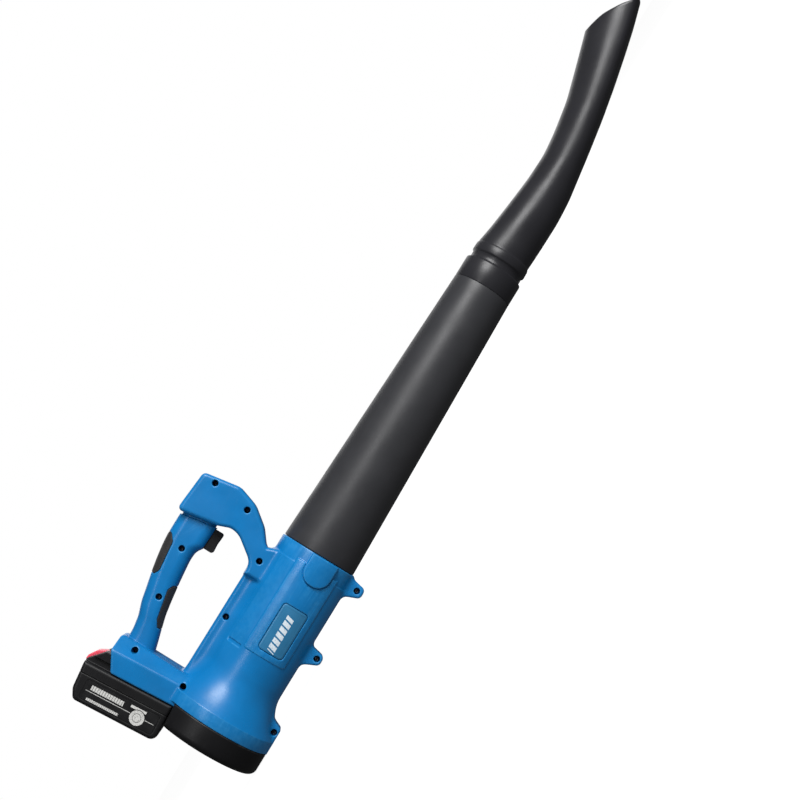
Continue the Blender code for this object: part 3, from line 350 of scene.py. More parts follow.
# ---- materials ----
class Look:
    """Node material with helpers for grain, tint and roughness in real scale."""

    def __init__(self, name, colour, roughness, **sockets):
        self.material = bpy.data.materials.new(name)
        self.material.use_nodes = True
        self.tree = self.material.node_tree
        self.shader = self.tree.nodes["Principled BSDF"]
        self.shader.inputs["Base Color"].default_value = (*colour, 1)
        self.shader.inputs["Roughness"].default_value = roughness
        for key, value in sockets.items():
            self.shader.inputs[key.replace("_", " ")].default_value = value
        self.place = self.node("ShaderNodeTexCoord").outputs["Object"]
        self.normal = None

    def node(self, kind, **values):
        """New node, with values for its sockets or its settings."""
        made = self.tree.nodes.new(kind)
        for key, value in values.items():
            if key in made.inputs.keys():
                made.inputs[key].default_value = value
            else:
                setattr(made, key, value)
        return made

    def link(self, out, into):
        self.tree.links.new(out, into)

    def noise(self, scale, detail=3.0, stretch=(1, 1, 1)):
        """Noise with a feature size of about one over the scale, in metres."""
        place = self.place
        if stretch != (1, 1, 1):
            mapping = self.node("ShaderNodeMapping", Scale=stretch)
            self.link(place, mapping.inputs["Vector"])
            place = mapping.outputs["Vector"]
        made = self.node("ShaderNodeTexNoise", Scale=scale, Detail=detail)
        self.link(place, made.inputs["Vector"])
        return made.outputs["Fac"]

    def spread(self, value, low, high, source=(0.35, 0.65)):
        """Value of one range mapped to another."""
        made = self.node("ShaderNodeMapRange")
        for key, number in zip(("From Min", "From Max", "To Min", "To Max"), (*source, low, high)):
            made.inputs[key].default_value = number
        self.link(value, made.inputs["Value"])
        return made.outputs["Result"]

    def math(self, operation, a, b=None):
        """Result of a sum on sockets or constants."""
        made = self.node("ShaderNodeMath", operation=operation)
        for socket, value in zip(made.inputs, (a, b)):
            if isinstance(value, (int, float)):
                socket.default_value = value
            elif value is not None:
                self.link(value, socket)
        return made.outputs["Value"]

    def mix(self, share, first, second):
        """Blend of two colours, each a socket or a constant."""
        made = self.node("ShaderNodeMix", data_type="RGBA")
        self.link(share, made.inputs[0])
        for index, value in ((6, first), (7, second)):
            if isinstance(value, tuple):
                made.inputs[index].default_value = (*value, 1)
            else:
                self.link(value, made.inputs[index])
        return made.outputs[2]

    def bump(self, height, strength, depth):
        """Relief on top of any that is there already."""
        made = self.node("ShaderNodeBump", Strength=strength, Distance=depth)
        self.link(height, made.inputs["Height"])
        if self.normal is not None:
            self.link(self.normal, made.inputs["Normal"])
        self.normal = made.outputs["Normal"]
        self.link(self.normal, self.shader.inputs["Normal"])

    def grain(self, scale, strength, depth, stretch=(1, 1, 1)):
        """Fine even relief."""
        self.bump(self.noise(scale, 2.0, stretch), strength, depth)

    def colour(self, value):
        """Colour from a socket."""
        self.link(value, self.shader.inputs["Base Color"])

    def roughness(self, value):
        """Roughness from a socket."""
        self.link(value, self.shader.inputs["Roughness"])

    def patchy(self, scale, low, high, stretch=(1, 1, 1)):
        """Roughness that drifts between two values."""
        self.roughness(self.spread(self.noise(scale, 3.0, stretch), low, high))

    def edge(self):
        """Share of wear along outer edges, from the mesh."""
        return self.node("ShaderNodeAttribute", attribute_name="edge").outputs["Fac"]


def moulded_plastic(name, colour, worn, roughness, grain, texture, specular=0.5):
    """Injection-moulded plastic: fine texture, faint mottling, hairline scuffs and rubbed edges."""
    look = Look(name, colour, roughness, Specular_IOR_Level=specular)
    mottle = look.spread(look.noise(38, 4.0), 0, 1)
    darker = tuple(0.90 * c for c in colour)
    body = look.mix(mottle, darker, colour)
    rub = look.math("MULTIPLY", look.edge(), look.spread(look.noise(210), 0.15, 0.75))
    look.colour(look.mix(rub, body, worn))
    smear = look.spread(look.noise(26, 5.0), roughness - 0.045, roughness + 0.055)
    scuffs = look.spread(look.noise(420, 2.0, (0.15, 1, 1)), 0, 0.05, (0.55, 0.75))
    look.roughness(look.math("ADD", smear, scuffs))
    look.grain(texture, grain, 0.00003)
    look.grain(55, 0.10, 0.00018)
    return look.material


def soft_rubber(name):
    """Soft-touch elastomer with a moulded pattern of small raised studs."""
    look = Look(name, (0.012, 0.012, 0.013), 0.66, Sheen_Weight=0.12, Sheen_Roughness=0.5)
    cells = look.node("ShaderNodeTexVoronoi", Scale=430.0, feature="F1")
    look.link(look.place, cells.inputs["Vector"])
    studs = look.spread(cells.outputs["Distance"], 1, 0, (0.25, 0.55))
    look.bump(studs, 0.55, 0.00022)
    look.grain(2600, 0.25, 0.00004)
    look.patchy(60, 0.58, 0.74)
    dust = look.spread(look.noise(90, 4.0), 0, 0.35, (0.5, 0.75))
    look.colour(look.mix(dust, (0.012, 0.012, 0.013), (0.030, 0.029, 0.028)))
    return look.material


def metal(name, colour, roughness, stretch=(1, 1, 1)):
    """Plain or drawn metal with fine marks."""
    look = Look(name, colour, roughness, Metallic=1.0)
    look.patchy(900, roughness - 0.08, roughness + 0.10, stretch)
    dull = tuple(0.82 * c for c in colour)
    look.colour(look.mix(look.spread(look.noise(140), 0, 1), dull, colour))
    look.grain(1500, 0.2, 0.00002, stretch)
    return look.material


def band(look, value, low, high, soft=0.00015):
    """1 where a value lies between two limits, with soft ends."""
    rise = look.spread(value, 0, 1, (low - soft, low + soft))
    fall = look.spread(value, 1, 0, (high - soft, high + soft))
    return look.math("MULTIPLY", rise, fall)


def pack_place(look):
    """Depth into the handle and height along the rails, of a point on the pack."""
    axes = (to_world() @ pack_axes()).inverted()
    mapping = look.node("ShaderNodeMapping", Rotation=axes.to_3x3().to_euler(),
                        Location=axes.translation)
    look.link(look.place, mapping.inputs["Vector"])
    parts = look.node("ShaderNodeSeparateXYZ")
    look.link(mapping.outputs["Vector"], parts.inputs["Vector"])
    return parts.outputs["X"], parts.outputs["Z"]


def pack_label_look():
    """Black film with plain pale marks: two bars, a ring and a rule, and no lettering."""
    dark = (0.006, 0.006, 0.007)
    pale = (0.62, 0.62, 0.60)
    look = Look("label_film", dark, 0.34)
    depth, height = pack_place(look)
    marks = None

    def add(mark):
        nonlocal marks
        marks = mark if marks is None else look.math("MAXIMUM", marks, mark)

    for depths, heights, pitch in (((0.0178, 0.0232), (0.0480, 0.0865), 0.0029),
                                   ((0.0062, 0.0090), (0.0480, 0.0860), 0.0021)):
        bar = look.math("MULTIPLY", band(look, depth, *depths), band(look, height, *heights))
        comb = look.math("FRACT", look.math("DIVIDE", height, pitch))
        teeth = look.spread(comb, 0.25, 1, (0.16, 0.30))
        add(look.math("MULTIPLY", bar, teeth))
    for depths, heights in (((0.0153, 0.0159), (0.0090, 0.0905)),
                            ((0.0215, 0.0243), (0.0215, 0.0400))):
        add(look.math("MULTIPLY", band(look, depth, *depths), band(look, height, *heights)))
    off_depth = look.math("SUBTRACT", depth, 0.0140)
    off_height = look.math("SUBTRACT", height, 0.0285)
    radius = look.math("SQRT", look.math("ADD", look.math("MULTIPLY", off_depth, off_depth),
                                         look.math("MULTIPLY", off_height, off_height)))
    disc = look.spread(radius, 1, 0, (0.0080, 0.0083))
    hollow = look.math("SUBTRACT", 1.0, band(look, radius, 0.0044, 0.0049))
    clear = look.spread(radius, 0, 1, (0.0088, 0.0092))
    marks = look.math("MULTIPLY", marks, clear)
    marks = look.math("MAXIMUM", marks, look.math("MULTIPLY", disc, hollow))
    worn = look.math("MULTIPLY", marks, look.spread(look.noise(900), 0.45, 1, (0.3, 0.5)))
    look.colour(look.mix(worn, dark, pale))
    look.patchy(70, 0.28, 0.42)
    look.grain(1200, 0.15, 0.00002)
    return look.material


def name_plate_look():
    """Grey-blue lacquer plate with a pale outline and a plain row of bars in place of lettering."""
    ground = (0.022, 0.155, 0.315)
    look = Look("plate_lacquer", ground, 0.30, Specular_IOR_Level=0.4)
    parts = look.node("ShaderNodeSeparateXYZ")
    look.link(look.place, parts.inputs["Vector"])
    along = look.math("ADD", parts.outputs["X"], CENTRE_X)
    height = look.math("SUBTRACT", parts.outputs["Z"], AXIS_Z)
    lean = look.math("ADD", along, look.math("MULTIPLY", height, -0.28))
    row = look.math("MULTIPLY", band(look, height, -0.0140, -0.0050),
                    band(look, lean, -0.1130, -0.0710))
    comb = look.math("FRACT", look.math("DIVIDE", lean, 0.0070))
    bars = look.math("MULTIPLY", row, look.spread(comb, 0, 1, (0.22, 0.30)))
    faded = look.math("MULTIPLY", bars, look.spread(look.noise(700), 0.6, 1, (0.3, 0.5)))
    tint = look.mix(look.spread(look.noise(60), 0, 1), ground, (0.030, 0.175, 0.345))
    look.colour(look.mix(faded, tint, (0.70, 0.78, 0.84)))
    look.patchy(90, 0.24, 0.38)
    look.grain(1300, 0.15, 0.00002)
    return look.material


def button_look():
    """Pinkish-red see-through plastic."""
    look = Look("red_plastic", (0.86, 0.095, 0.150), 0.30, Transmission_Weight=0.15,
                Subsurface_Weight=0.45, Subsurface_Scale=0.004, Subsurface_Radius=(1.0, 0.25, 0.2))
    look.patchy(80, 0.24, 0.38)
    look.grain(1700, 0.22, 0.00003)
    return look.material


def board_look():
    """Solder-masked laminate with faint tracks."""
    look = Look("circuit_board", (0.015, 0.11, 0.045), 0.38)
    tracks = look.node("ShaderNodeTexWave", Scale=160.0, Distortion=9.0)
    look.link(look.place, tracks.inputs["Vector"])
    lines = look.spread(tracks.outputs["Fac"], 0, 1, (0.55, 0.62))
    look.colour(look.mix(lines, (0.012, 0.090, 0.036), (0.022, 0.150, 0.060)))
    look.bump(lines, 0.3, 0.00004)
    return look.material


# colour, colour where worn, roughness, strength and scale of the texture, specular level
PLASTICS = {
    "blue_plastic": ((0.0024, 0.165, 0.440), (0.04, 0.27, 0.56), 0.31, 0.25, 1800, 0.38),
    "black_plastic": ((0.0065, 0.0065, 0.0075), (0.035, 0.035, 0.035), 0.42, 0.4, 1500, 0.30),
    "tube_plastic": ((0.029, 0.0295, 0.033), (0.06, 0.06, 0.065), 0.42, 0.3, 1300, 0.42),
    "nozzle_plastic": ((0.0185, 0.0185, 0.0215), (0.05, 0.05, 0.055), 0.33, 0.2, 1300, 0.27),
    "fan_nylon": ((0.020, 0.020, 0.021), (0.08, 0.08, 0.08), 0.46, 0.3, 1200),
    "cell_sleeve": ((0.02, 0.24, 0.26), (0.05, 0.3, 0.3), 0.36, 0.1, 900),
    "red_insulation": ((0.42, 0.015, 0.015), (0.5, 0.1, 0.1), 0.45, 0.2, 1200),
    "black_insulation": ((0.012, 0.012, 0.013), (0.05, 0.05, 0.05), 0.45, 0.2, 1200),
}
LOOKS = {name: moulded_plastic(name, *values) for name, values in PLASTICS.items()}
LOOKS.update({
    "soft_rubber": soft_rubber("soft_rubber"),
    "red_plastic": button_look(),
    "plate_lacquer": name_plate_look(),
    "label_film": pack_label_look(),
    "steel": metal("steel", (0.50, 0.50, 0.52), 0.30),
    "screw_steel": metal("screw_steel", (0.075, 0.075, 0.080), 0.36),
    "copper": metal("copper", (0.72, 0.36, 0.20), 0.34, (0.1, 1, 1)),
    "circuit_board": board_look(),
})


def place(piece, look, body, *nodes):
    """Give a piece its look, its body and the CAD nodes that it stands for."""
    piece.data.materials.clear()
    piece.data.materials.append(LOOKS[look])
    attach(piece, body)
    if nodes:
        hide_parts(*nodes)
    return piece


# ---- housing ----
CAP_JOINT_X = -0.2150
BELL_CREASE_X = -0.2005
BELL_END_X = -0.1550
BELOW_AXIS = -0.02            # closes the outline of a turned solid on the far side of its axis


def rail_x(depth, z):
    """x of a plane parallel to the battery rails."""
    return PACK_CORNER.x + depth / math.cos(TILT) - (z - PACK_CORNER.z) * math.tan(TILT)


def bell_line(inset):
    """Points along the flare of the fan housing."""
    points = []
    for step in range(13):
        x = BELL_CREASE_X + (BELL_END_X - BELL_CREASE_X) * step / 12
        share = min(max((BELL_END_X - x) / (BELL_END_X - BELL_CREASE_X), 0), 1)
        points.append((x, BARREL_R + (BASE_R - BARREL_R) * share ** 1.8 - inset))
    return points


def barrel_outline():
    """Outside of the fan housing and the collar, as x and radius."""
    front = [(-0.0200, BARREL_R, 0.0006), (-0.0192, COLLAR_R, 0.0006), (-0.0010, COLLAR_R, 0.0008),
             (-0.0010, BELOW_AXIS, 0)]
    rear = [(CAP_JOINT_X + GAP, BELOW_AXIS, 0), (CAP_JOINT_X + GAP, BASE_R, 0.0006)]
    return rounded(rear + [(x, radius, 0) for x, radius in bell_line(0)] + front)


def duct_outline():
    """Air duct inside the housing, and the bore that takes the tube."""
    spigot = SPIGOT_R + GAP
    stop = 0.0400
    rear = [(CAP_JOINT_X - 0.004, BELOW_AXIS, 0), (CAP_JOINT_X - 0.004, BASE_R - WALL, 0)]
    front = [(-0.0350, DUCT_R, 0.001), (-0.0330, stop, 0.0006), (-0.0283, stop, 0.0004),
             (-0.0283, spigot, 0), (0.0050, spigot, 0), (0.0050, BELOW_AXIS, 0)]
    return rounded(rear + [(x, radius, 0) for x, radius in bell_line(WALL)] + front)


HEAD = rounded((
    (-0.0395, 0.1590, 0.005), (0.0105, 0.1553, 0.006), (0.0175, 0.1125, 0.014),
    (0.0095, 0.0880, 0.028), (-0.0065, 0.0670, 0.030), (-0.0205, 0.0560, 0.008),
    (-0.0232, 0.0525, 0.0), (-0.0200, 0.0440, 0.0), (-0.0200, 0.0300, 0.0),
    (-0.0600, 0.0300, 0.0), (-0.0600, 0.0593, 0.0), (-0.0475, 0.0593, 0.018),
    (-0.0265, 0.0880, 0.024), (-0.0265, 0.0985, 0.012), (-0.0315, 0.1110, 0.006)))
FOOT = rounded((
    (rail_x(FOOT_DEPTH, 0.0450), 0.0450, 0.0), (rail_x(FOOT_DEPTH, 0.1240), 0.1240, 0.003),
    (-0.2030, 0.1368, 0.005), (-0.1840, 0.1368, 0.004), (-0.1848, 0.0600, 0.0),
    (-0.1848, 0.0300, 0.0), (-0.2100, 0.0300, 0.0), (-0.2100, 0.0450, 0.0)))
SPINE = rectangle(-0.2000, 0.0300, -0.0450, 0.0593)
FRONT_LUG = rounded(((-0.0290, -0.0380, 0), (-0.0180, -0.0643, 0.0055), (-0.0068, -0.0643, 0.0055),
                     (-0.0012, -0.0380, 0)))
MIDDLE_LUG = rounded(((-0.1160, -0.0380, 0), (-0.1035, -0.0643, 0.0055), (-0.0928, -0.0643, 0.0055),
                      (-0.0870, -0.0380, 0)))
REAR_LUG = rounded(((-0.1600, -0.0400, 0), (-0.1780, -0.0520, 0.008), (-0.1838, -BASE_R, 0.004),
                    (-0.2147, -BASE_R, 0), (-0.2147, -0.0400, 0)))
PANEL = rounded(((-0.1255, 0.0180, 0.003), (-0.0150, 0.0180, 0), (-0.0150, -0.0325, 0),
                 (-0.1255, -0.0325, 0.003)))
PLATE = rectangle(-0.1185, 0.0052, -0.0625, -0.0252, 0.004)
TAB = rounded(((-0.0335, 0.0065, 0.0145), (-0.0015, 0.0065, 0.0), (-0.0015, -0.0255, 0.0),
               (-0.0335, -0.0255, 0.0145)))
SLOT = rectangle(-0.1290, 0.0210, -0.1262, 0.0362, 0.0009)
# x, underside z, top z and half width along the grip
GRIP = np.array((
    (-0.1950, 0.0940, 0.1302, 0.0165), (-0.1750, 0.0996, 0.1309, 0.0165),
    (-0.1600, 0.1042, 0.1336, 0.0165), (-0.1450, 0.1085, 0.1392, 0.0168),
    (-0.1280, 0.1115, 0.1430, 0.0170), (-0.1115, 0.1140, 0.1470, 0.0170),
    (-0.0965, 0.1158, 0.1500, 0.0170), (-0.0800, 0.1177, 0.1527, 0.0170),
    (-0.0700, 0.1172, 0.1537, 0.0170), (-0.0645, 0.1145, 0.1540, 0.0170),
    (-0.0615, 0.1112, 0.1541, 0.0170), (-0.0450, 0.1108, 0.1543, 0.0170),
    (-0.0240, 0.1108, 0.1543, 0.0170)))
UPPER_INLAY = rounded(((-0.1120, 0.1700, 0.0), (-0.1120, 0.1430, 0.0), (-0.1060, 0.1395, 0.005),
                       (-0.0720, 0.1435, 0.005), (-0.0645, 0.1500, 0.003), (-0.0645, 0.1700, 0.0)))
LOWER_INLAY = rounded(((-0.1600, 0.0900, 0.0), (-0.1600, 0.1085, 0.0), (-0.1520, 0.1135, 0.005),
                       (-0.1190, 0.1205, 0.005), (-0.1120, 0.1175, 0.003), (-0.1120, 0.0900, 0.0)))


def grip_field(lattice):
    """Hand grip: squared-oval sections that change smoothly along x."""
    spacing, reach, softness = 0.0005, 12, 0.0022
    fine = np.arange(-0.2200, 0.0, spacing)
    kernel = np.exp(-0.5 * (np.arange(-reach, reach + 1) * spacing / softness) ** 2)
    kernel /= kernel.sum()
    lines = []
    for column in (1, 2, 3):
        line = np.interp(fine, GRIP[:, 0], GRIP[:, column])
        padded = np.pad(line, reach, mode="edge")
        smooth = np.convolve(padded, kernel, mode="valid")
        lines.append(np.interp(lattice.x, fine, smooth).astype(np.float32))
    low, high, half = lines
    rise = (high - low) / 2
    corner = 0.0128
    across = np.abs(lattice.y) - half + corner
    upright = np.abs(lattice.z - (low + high) / 2) - rise + corner
    crown = round_join(across, upright, corner)
    ends = np.maximum(-0.1950 - lattice.x, lattice.x + 0.0240)
    return shared(crown, ends)


def head_field(lattice):
    """Upright block in front of the grip, which the hand opening turns round."""
    return lattice.slab(HEAD, 0.0260, 0.0045)


def foot_field(lattice):
    """Block behind the grip that carries the battery rails, chamfered towards the hand opening."""
    block = lattice.slab(FOOT, 0.0380, 0.0022)
    upright = lattice.x + math.tan(TILT) * (lattice.z - 0.0200)
    chamfer = (upright + np.abs(lattice.y) + 0.1565) / math.sqrt(2)
    return blend_max(block, chamfer, 0.0016)


def pack_distances(lattice):
    """Depth from the pack's rear face and height along the rails, at every lattice point."""
    off_x = lattice.x - PACK_CORNER.x
    off_z = lattice.z - PACK_CORNER.z
    depth = off_x * math.cos(TILT) + off_z * math.sin(TILT)
    height = off_z * math.cos(TILT) - off_x * math.sin(TILT)
    return depth, height


def between(value, low, high):
    """Slab between two values."""
    return np.abs(value - (low + high) / 2) - (high - low) / 2


def rail_channel(lattice):
    """Space in the foot that the battery's deck and the terminal block fill."""
    depth, height = pack_distances(lattice)
    side = np.abs(lattice.y)
    neck = shared(between(depth, PACK_DEPTH - 0.0100, 0.0500), side - 0.0265)
    deck = shared(between(depth, 0.0497, 0.0606), side - 0.0298)
    channel = shared(united(neck, deck), between(height, 0.0015, 0.1300))
    socket = shared(between(depth, 0.0560, 0.0705), side - 0.0205, between(height, 0.0060, 0.0405))
    return united(channel, socket)


def outside_field(lattice, side):
    """Outer form of one shell before its hollows."""
    body = lattice.turned(barrel_outline())
    body = blend_min(body, lattice.slab(SPINE, 0.0180, 0.0045), 0.0100)
    for outline, reach in ((FRONT_LUG, 0.0060), (MIDDLE_LUG, 0.0060), (REAR_LUG, 0.0050)):
        body = blend_min(body, lattice.slab(outline, 0.0130, 0.0030), reach)
    body = shared(body, CAP_JOINT_X + GAP - lattice.x, -BASE_R - lattice.z)
    for outline, height, edge in ((PANEL, 0.0010, 0.0006), (TAB, 0.0034, 0.0009)):
        flat = lattice.prism(outline, side > 0)
        raised = round_join(flat + edge, lattice.ring - (BARREL_R + height) + edge, edge)
        body = blend_min(body, raised, 0.0010)
    moat = shared(np.abs(flat - 0.0006) - 0.0006, BARREL_R - 0.0004 - lattice.ring,
                  lattice.ring - BARREL_R - 0.0030)
    body = blend_max(body, -moat, 0.0005)
    head, grip = head_field(lattice), grip_field(lattice)
    body = blend_min(body, head, 0.0040)
    body = blend_min(body, foot_field(lattice), 0.0030)
    body = blend_min(body, grip, 0.0014)
    shadow_gap = shared(np.abs(head - 0.0015) - 0.0015, -grip - 0.0022,
                        lattice.x + 0.0290, 0.0950 - lattice.z)
    return blend_max(body, -shadow_gap, 0.0005)


def hollow_field(lattice):
    """Inside of the handle, clear of the duct wall and of the screw bosses."""
    depth, height = pack_distances(lattice)
    foot = shared(foot_field(lattice) + WALL, between(depth, 0.0632, 0.0800),
                  np.abs(lattice.y) - 0.0300, between(height, 0.0060, 0.0880))
    spine = lattice.block((-0.1900, -0.0152, 0.0400), (-0.0400, 0.0152, 0.0593 - WALL))
    hollow = united(head_field(lattice) + WALL, grip_field(lattice) + WALL + 0.0008, foot, spine)
    hollow = shared(hollow, GAP - lattice.turned(barrel_outline()))
    bosses = united(*(lattice.from_line(x, z) - BOSS_R for x, z, _ in HOUSING_SCREWS))
    return shared(hollow, -bosses)


def seat_field(lattice, side):
    """Screw seats with a softened mouth on the right, and the screws' own holes."""
    holes = np.float32(1.0)
    for x, z, seat in HOUSING_SCREWS:
        radius = lattice.from_line(x, z)
        holes = united(holes, shared(radius - 0.0017, np.abs(lattice.y) - 0.0103))
        if side < 0:
            holes = united(holes, shared(radius - SEAT_R, lattice.y + seat))
    return holes


def trigger_opening(lattice):
    """Mouth for the blade, and a wider room above it for the blade's shoulders."""
    return united(lattice.block((-0.0614, -0.0083, 0.1000), (-0.0360, 0.0083, 0.1190), 0.0004),
                  lattice.block((-0.0650, -0.0086, 0.1158), (-0.0325, 0.0086, 0.1300), 0.0004))


def housing_shell(name, side):
    """One moulded half, with the seam along y = 0."""
    reach = (-0.0660, -GAP / 2) if side < 0 else (GAP / 2, 0.0660)
    lattice = Lattice((-0.2225, reach[0], -0.0660), (0.0180, reach[1], 0.1600), 0.00078)
    solid = outside_field(lattice, side)
    grip = grip_field(lattice) + 0.0014
    for inlay in (UPPER_INLAY, LOWER_INLAY):
        solid = shared(solid, -shared(lattice.prism(inlay) - GAP, -grip))
    roof = lattice.z - 0.0432
    duct = lattice.turned(duct_outline())
    duct = np.where(lattice.x < -0.1650, shared(duct, roof), duct)
    solid = blend_max(solid, -seat_field(lattice, side), 0.0009)
    if side < 0:
        recess = shared(lattice.prism(PLATE) - 0.0004, BARREL_R - 0.0006 - lattice.ring)
        solid = blend_max(solid, -recess, 0.0004)
        groove = shared(lattice.prism(SLOT) - 0.0004, BARREL_R - 0.0011 - lattice.ring, -lattice.z)
        solid = blend_max(solid, -groove, 0.0008)
    hollows = united(duct, hollow_field(lattice), rail_channel(lattice), trigger_opening(lattice))
    solid = shared(solid, -hollows)
    solid = blend_max(solid, side * (GAP / 2 * side - lattice.y), 0.0009)
    place(moulded(name, lattice, solid, 90000), "blue_plastic", "housing",
          name.replace("_shell", "_housing"))


housing_shell("right_shell", -1)
housing_shell("left_shell", 1)


# ---- rear intake cap ----
def intake_cap():
    """Cup with horizontal slots, its top cut flat under the battery."""
    rear, joint, wall = -0.2425, CAP_JOINT_X, 0.0024
    lip = BASE_R - WALL - GAP
    lattice = Lattice((rear, -BASE_R, -BASE_R), (joint + 0.0060, BASE_R, 0.0485), 0.00075)
    outer = lattice.turned(rounded(((rear, BELOW_AXIS, 0), (rear, BASE_R, 0.0075), (joint, BASE_R, 0.0006),
                                    (joint, lip, 0), (joint + 0.0060, lip, 0.0005),
                                    (joint + 0.0060, BELOW_AXIS, 0))))
    inner = lattice.turned(rounded(((rear + wall, BELOW_AXIS, 0), (rear + wall, lip - wall, 0.006),
                                    (joint + 0.01, lip - wall, 0), (joint + 0.01, BELOW_AXIS, 0))))
    lean = (lattice.x - PACK_CORNER.x) * math.tan(TILT)
    roof = np.where(lattice.x < joint, lattice.z - PACK_CORNER.z + 0.0005 - lean, lattice.z - 0.0429)
    cap = blend_max(outer, roof, 0.0020)
    cap = shared(cap, -shared(inner, lattice.z - 0.0405))
    pitch, corner = 0.0115, 0.0022
    slots = []
    for index in range(-4, 4):
        z = pitch * index + 0.0018
        half = math.sqrt((BASE_R - 0.0120) ** 2 - z ** 2) - 0.001
        across = between(np.abs(lattice.y), 0.0025, half) + corner
        slots.append(round_join(across, np.abs(lattice.z - z) - 0.0032 + corner, corner))
    cap = blend_max(cap, -shared(united(*slots), lattice.x - rear - 0.0060), 0.0010)
    rim = shared(np.abs(lattice.ring - (BASE_R - 0.0095)) - 0.0006, lattice.x - rear - 0.0007)
    cap = blend_max(cap, -rim, 0.0006)
    place(moulded("intake_cap", lattice, cap, 60000), "black_plastic", "housing", "rear_intake_cap")


# ---- grip inlays, name plate and screws ----
def inlay(name, window, node):
    """Soft skin let into the grip, a little crowned over it."""
    low = np.min(window, axis=0)
    high = np.max(window, axis=0)
    lattice = Lattice((low[0], -0.0175, max(low[1], 0.1020)),
                      (high[0], 0.0175, min(high[1], 0.1560)), 0.00042)
    grip = grip_field(lattice)
    skin = blend_max(lattice.prism(window) + 0.0001, grip - 0.0001, 0.0012)
    skin = shared(skin, -(grip + 0.0011))
    place(moulded(name, lattice, skin, 26000), "soft_rubber", "housing", node)


def name_plate():
    """Thin curved plate in its recess, with a raised frame."""
    lattice = Lattice((-0.1200, -0.0480, -0.0265), (-0.0600, -0.0370, 0.0075), 0.00042)
    plate = blend_max(lattice.prism(PLATE) + 0.0003, lattice.ring - BARREL_R - 0.0009, 0.0008)
    plate = shared(plate, BARREL_R - 0.0003 - lattice.ring)
    frame_line = shared(np.abs(lattice.prism(PLATE) + 0.0022) - 0.0004,
                        np.abs(lattice.ring - BARREL_R - 0.0006) - 0.0004)
    plate = blend_min(plate, frame_line, 0.0003)
    place(moulded("plate", lattice, plate, 24000), "plate_lacquer", "housing", "name_plate")


def screw_head():
    """Pan head with a six-lobed socket, along +Y."""
    lattice = Lattice((-0.0032, -0.0024, -0.0032), (0.0032, 0.0002, 0.0032), 0.00014)
    radius = lattice.from_line(0, 0)
    arm = np.arctan2(lattice.z, lattice.x)
    dome = np.sqrt(lattice.x ** 2 + lattice.z ** 2 + (lattice.y - 0.0028) ** 2) - 0.0050
    head = blend_max(shared(radius - 0.0030, lattice.y), shared(dome, -0.0021 - lattice.y), 0.0005)
    socket = shared(radius - 0.0012 - 0.00022 * np.cos(6 * arm), lattice.y + 0.0007)
    return lattice, blend_max(head, -socket, 0.0002)


def screws():
    """Eleven screws: copies of one head, each on its own threaded shank."""
    lattice, field = screw_head()
    head = moulded("screw_head", lattice, field, 3600)
    shape = head.data
    shape.transform(to_world().inverted())
    bpy.data.objects.remove(head)
    arms = [math.tau * k / 16 for k in range(16)]
    pitch, crest, root = 0.0007, 0.0014, 0.0011
    for number, (x, z, seat) in enumerate(HOUSING_SCREWS, 1):
        name = f"screw_{number:02d}"
        length = seat + GAP + SCREW_REACH
        outline = [(-0.0002, 0.0013), (0.0, 0.0013)]
        outline += [(pitch * k + part, radius) for k in range(1, int(length / pitch))
                    for part, radius in ((0.0, crest), (pitch / 2, root))]
        outline += [(length - 0.0005, root), (length, 0.0004)]
        shank = ring_mesh(name, [[(r * math.cos(a), y, r * math.sin(a)) for a in arms]
                                 for y, r in outline], closed=False, ends=True)
        shank.data.transform(to_world().inverted())
        piece = joined(name, [shank, add_object(name, shape.copy())])
        turn = Matrix.Rotation(0.7 * number, 4, "Y")
        piece.matrix_world = to_world() @ Matrix.Translation((x, -seat - GAP, z)) @ turn
        place(piece, "screw_steel", "housing", f"housing_screw_{number:02d}")


# ---- meshes of rings ----
def fix_normals(mesh):
    """Turn all faces outwards."""
    work = bmesh.new()
    work.from_mesh(mesh)
    bmesh.ops.recalc_face_normals(work, faces=work.faces)
    work.to_mesh(mesh)
    work.free()


def ring_mesh(name, rings, closed=True, ends=False):
    """Skin over rings of equal length; the last ring joins the first when closed."""
    rings = np.asarray(rings, float)
    rows, count = rings.shape[:2]
    spans = rows if closed else rows - 1
    here = np.arange(spans)[:, None] * count + np.arange(count)[None, :]
    side = np.arange(spans)[:, None] * count + (np.arange(count)[None, :] + 1) % count
    ahead = (here + count) % (rows * count)
    beside = (side + count) % (rows * count)
    faces = np.stack((here, ahead, beside, side), axis=-1).reshape(-1, 4).tolist()
    if ends:
        faces += [list(range(count)), list(range((rows - 1) * count, rows * count))]
    mesh = bpy.data.meshes.new(name)
    mesh.from_pydata(rings.reshape(-1, 3).tolist(), [], faces)
    fix_normals(mesh)
    mesh.transform(to_world())
    piece = add_object(name, mesh)
    mesh.shade_smooth()
    mesh.set_sharp_from_angle(angle=math.radians(40))
    return piece


def joined(name, pieces):
    """One object made of several."""
    with bpy.context.temp_override(active_object=pieces[0], selected_editable_objects=pieces,
                                   selected_objects=pieces):
        bpy.ops.object.join()
    pieces[0].name = name
    return pieces[0]


def circles(outline, sides=160):
    """Rings about the air axis from an outline of (x, radius)."""
    arms = math.tau * np.arange(sides) / sides
    return [[(x, radius * math.cos(arm), radius * math.sin(arm)) for arm in arms]
            for x, radius in outline]


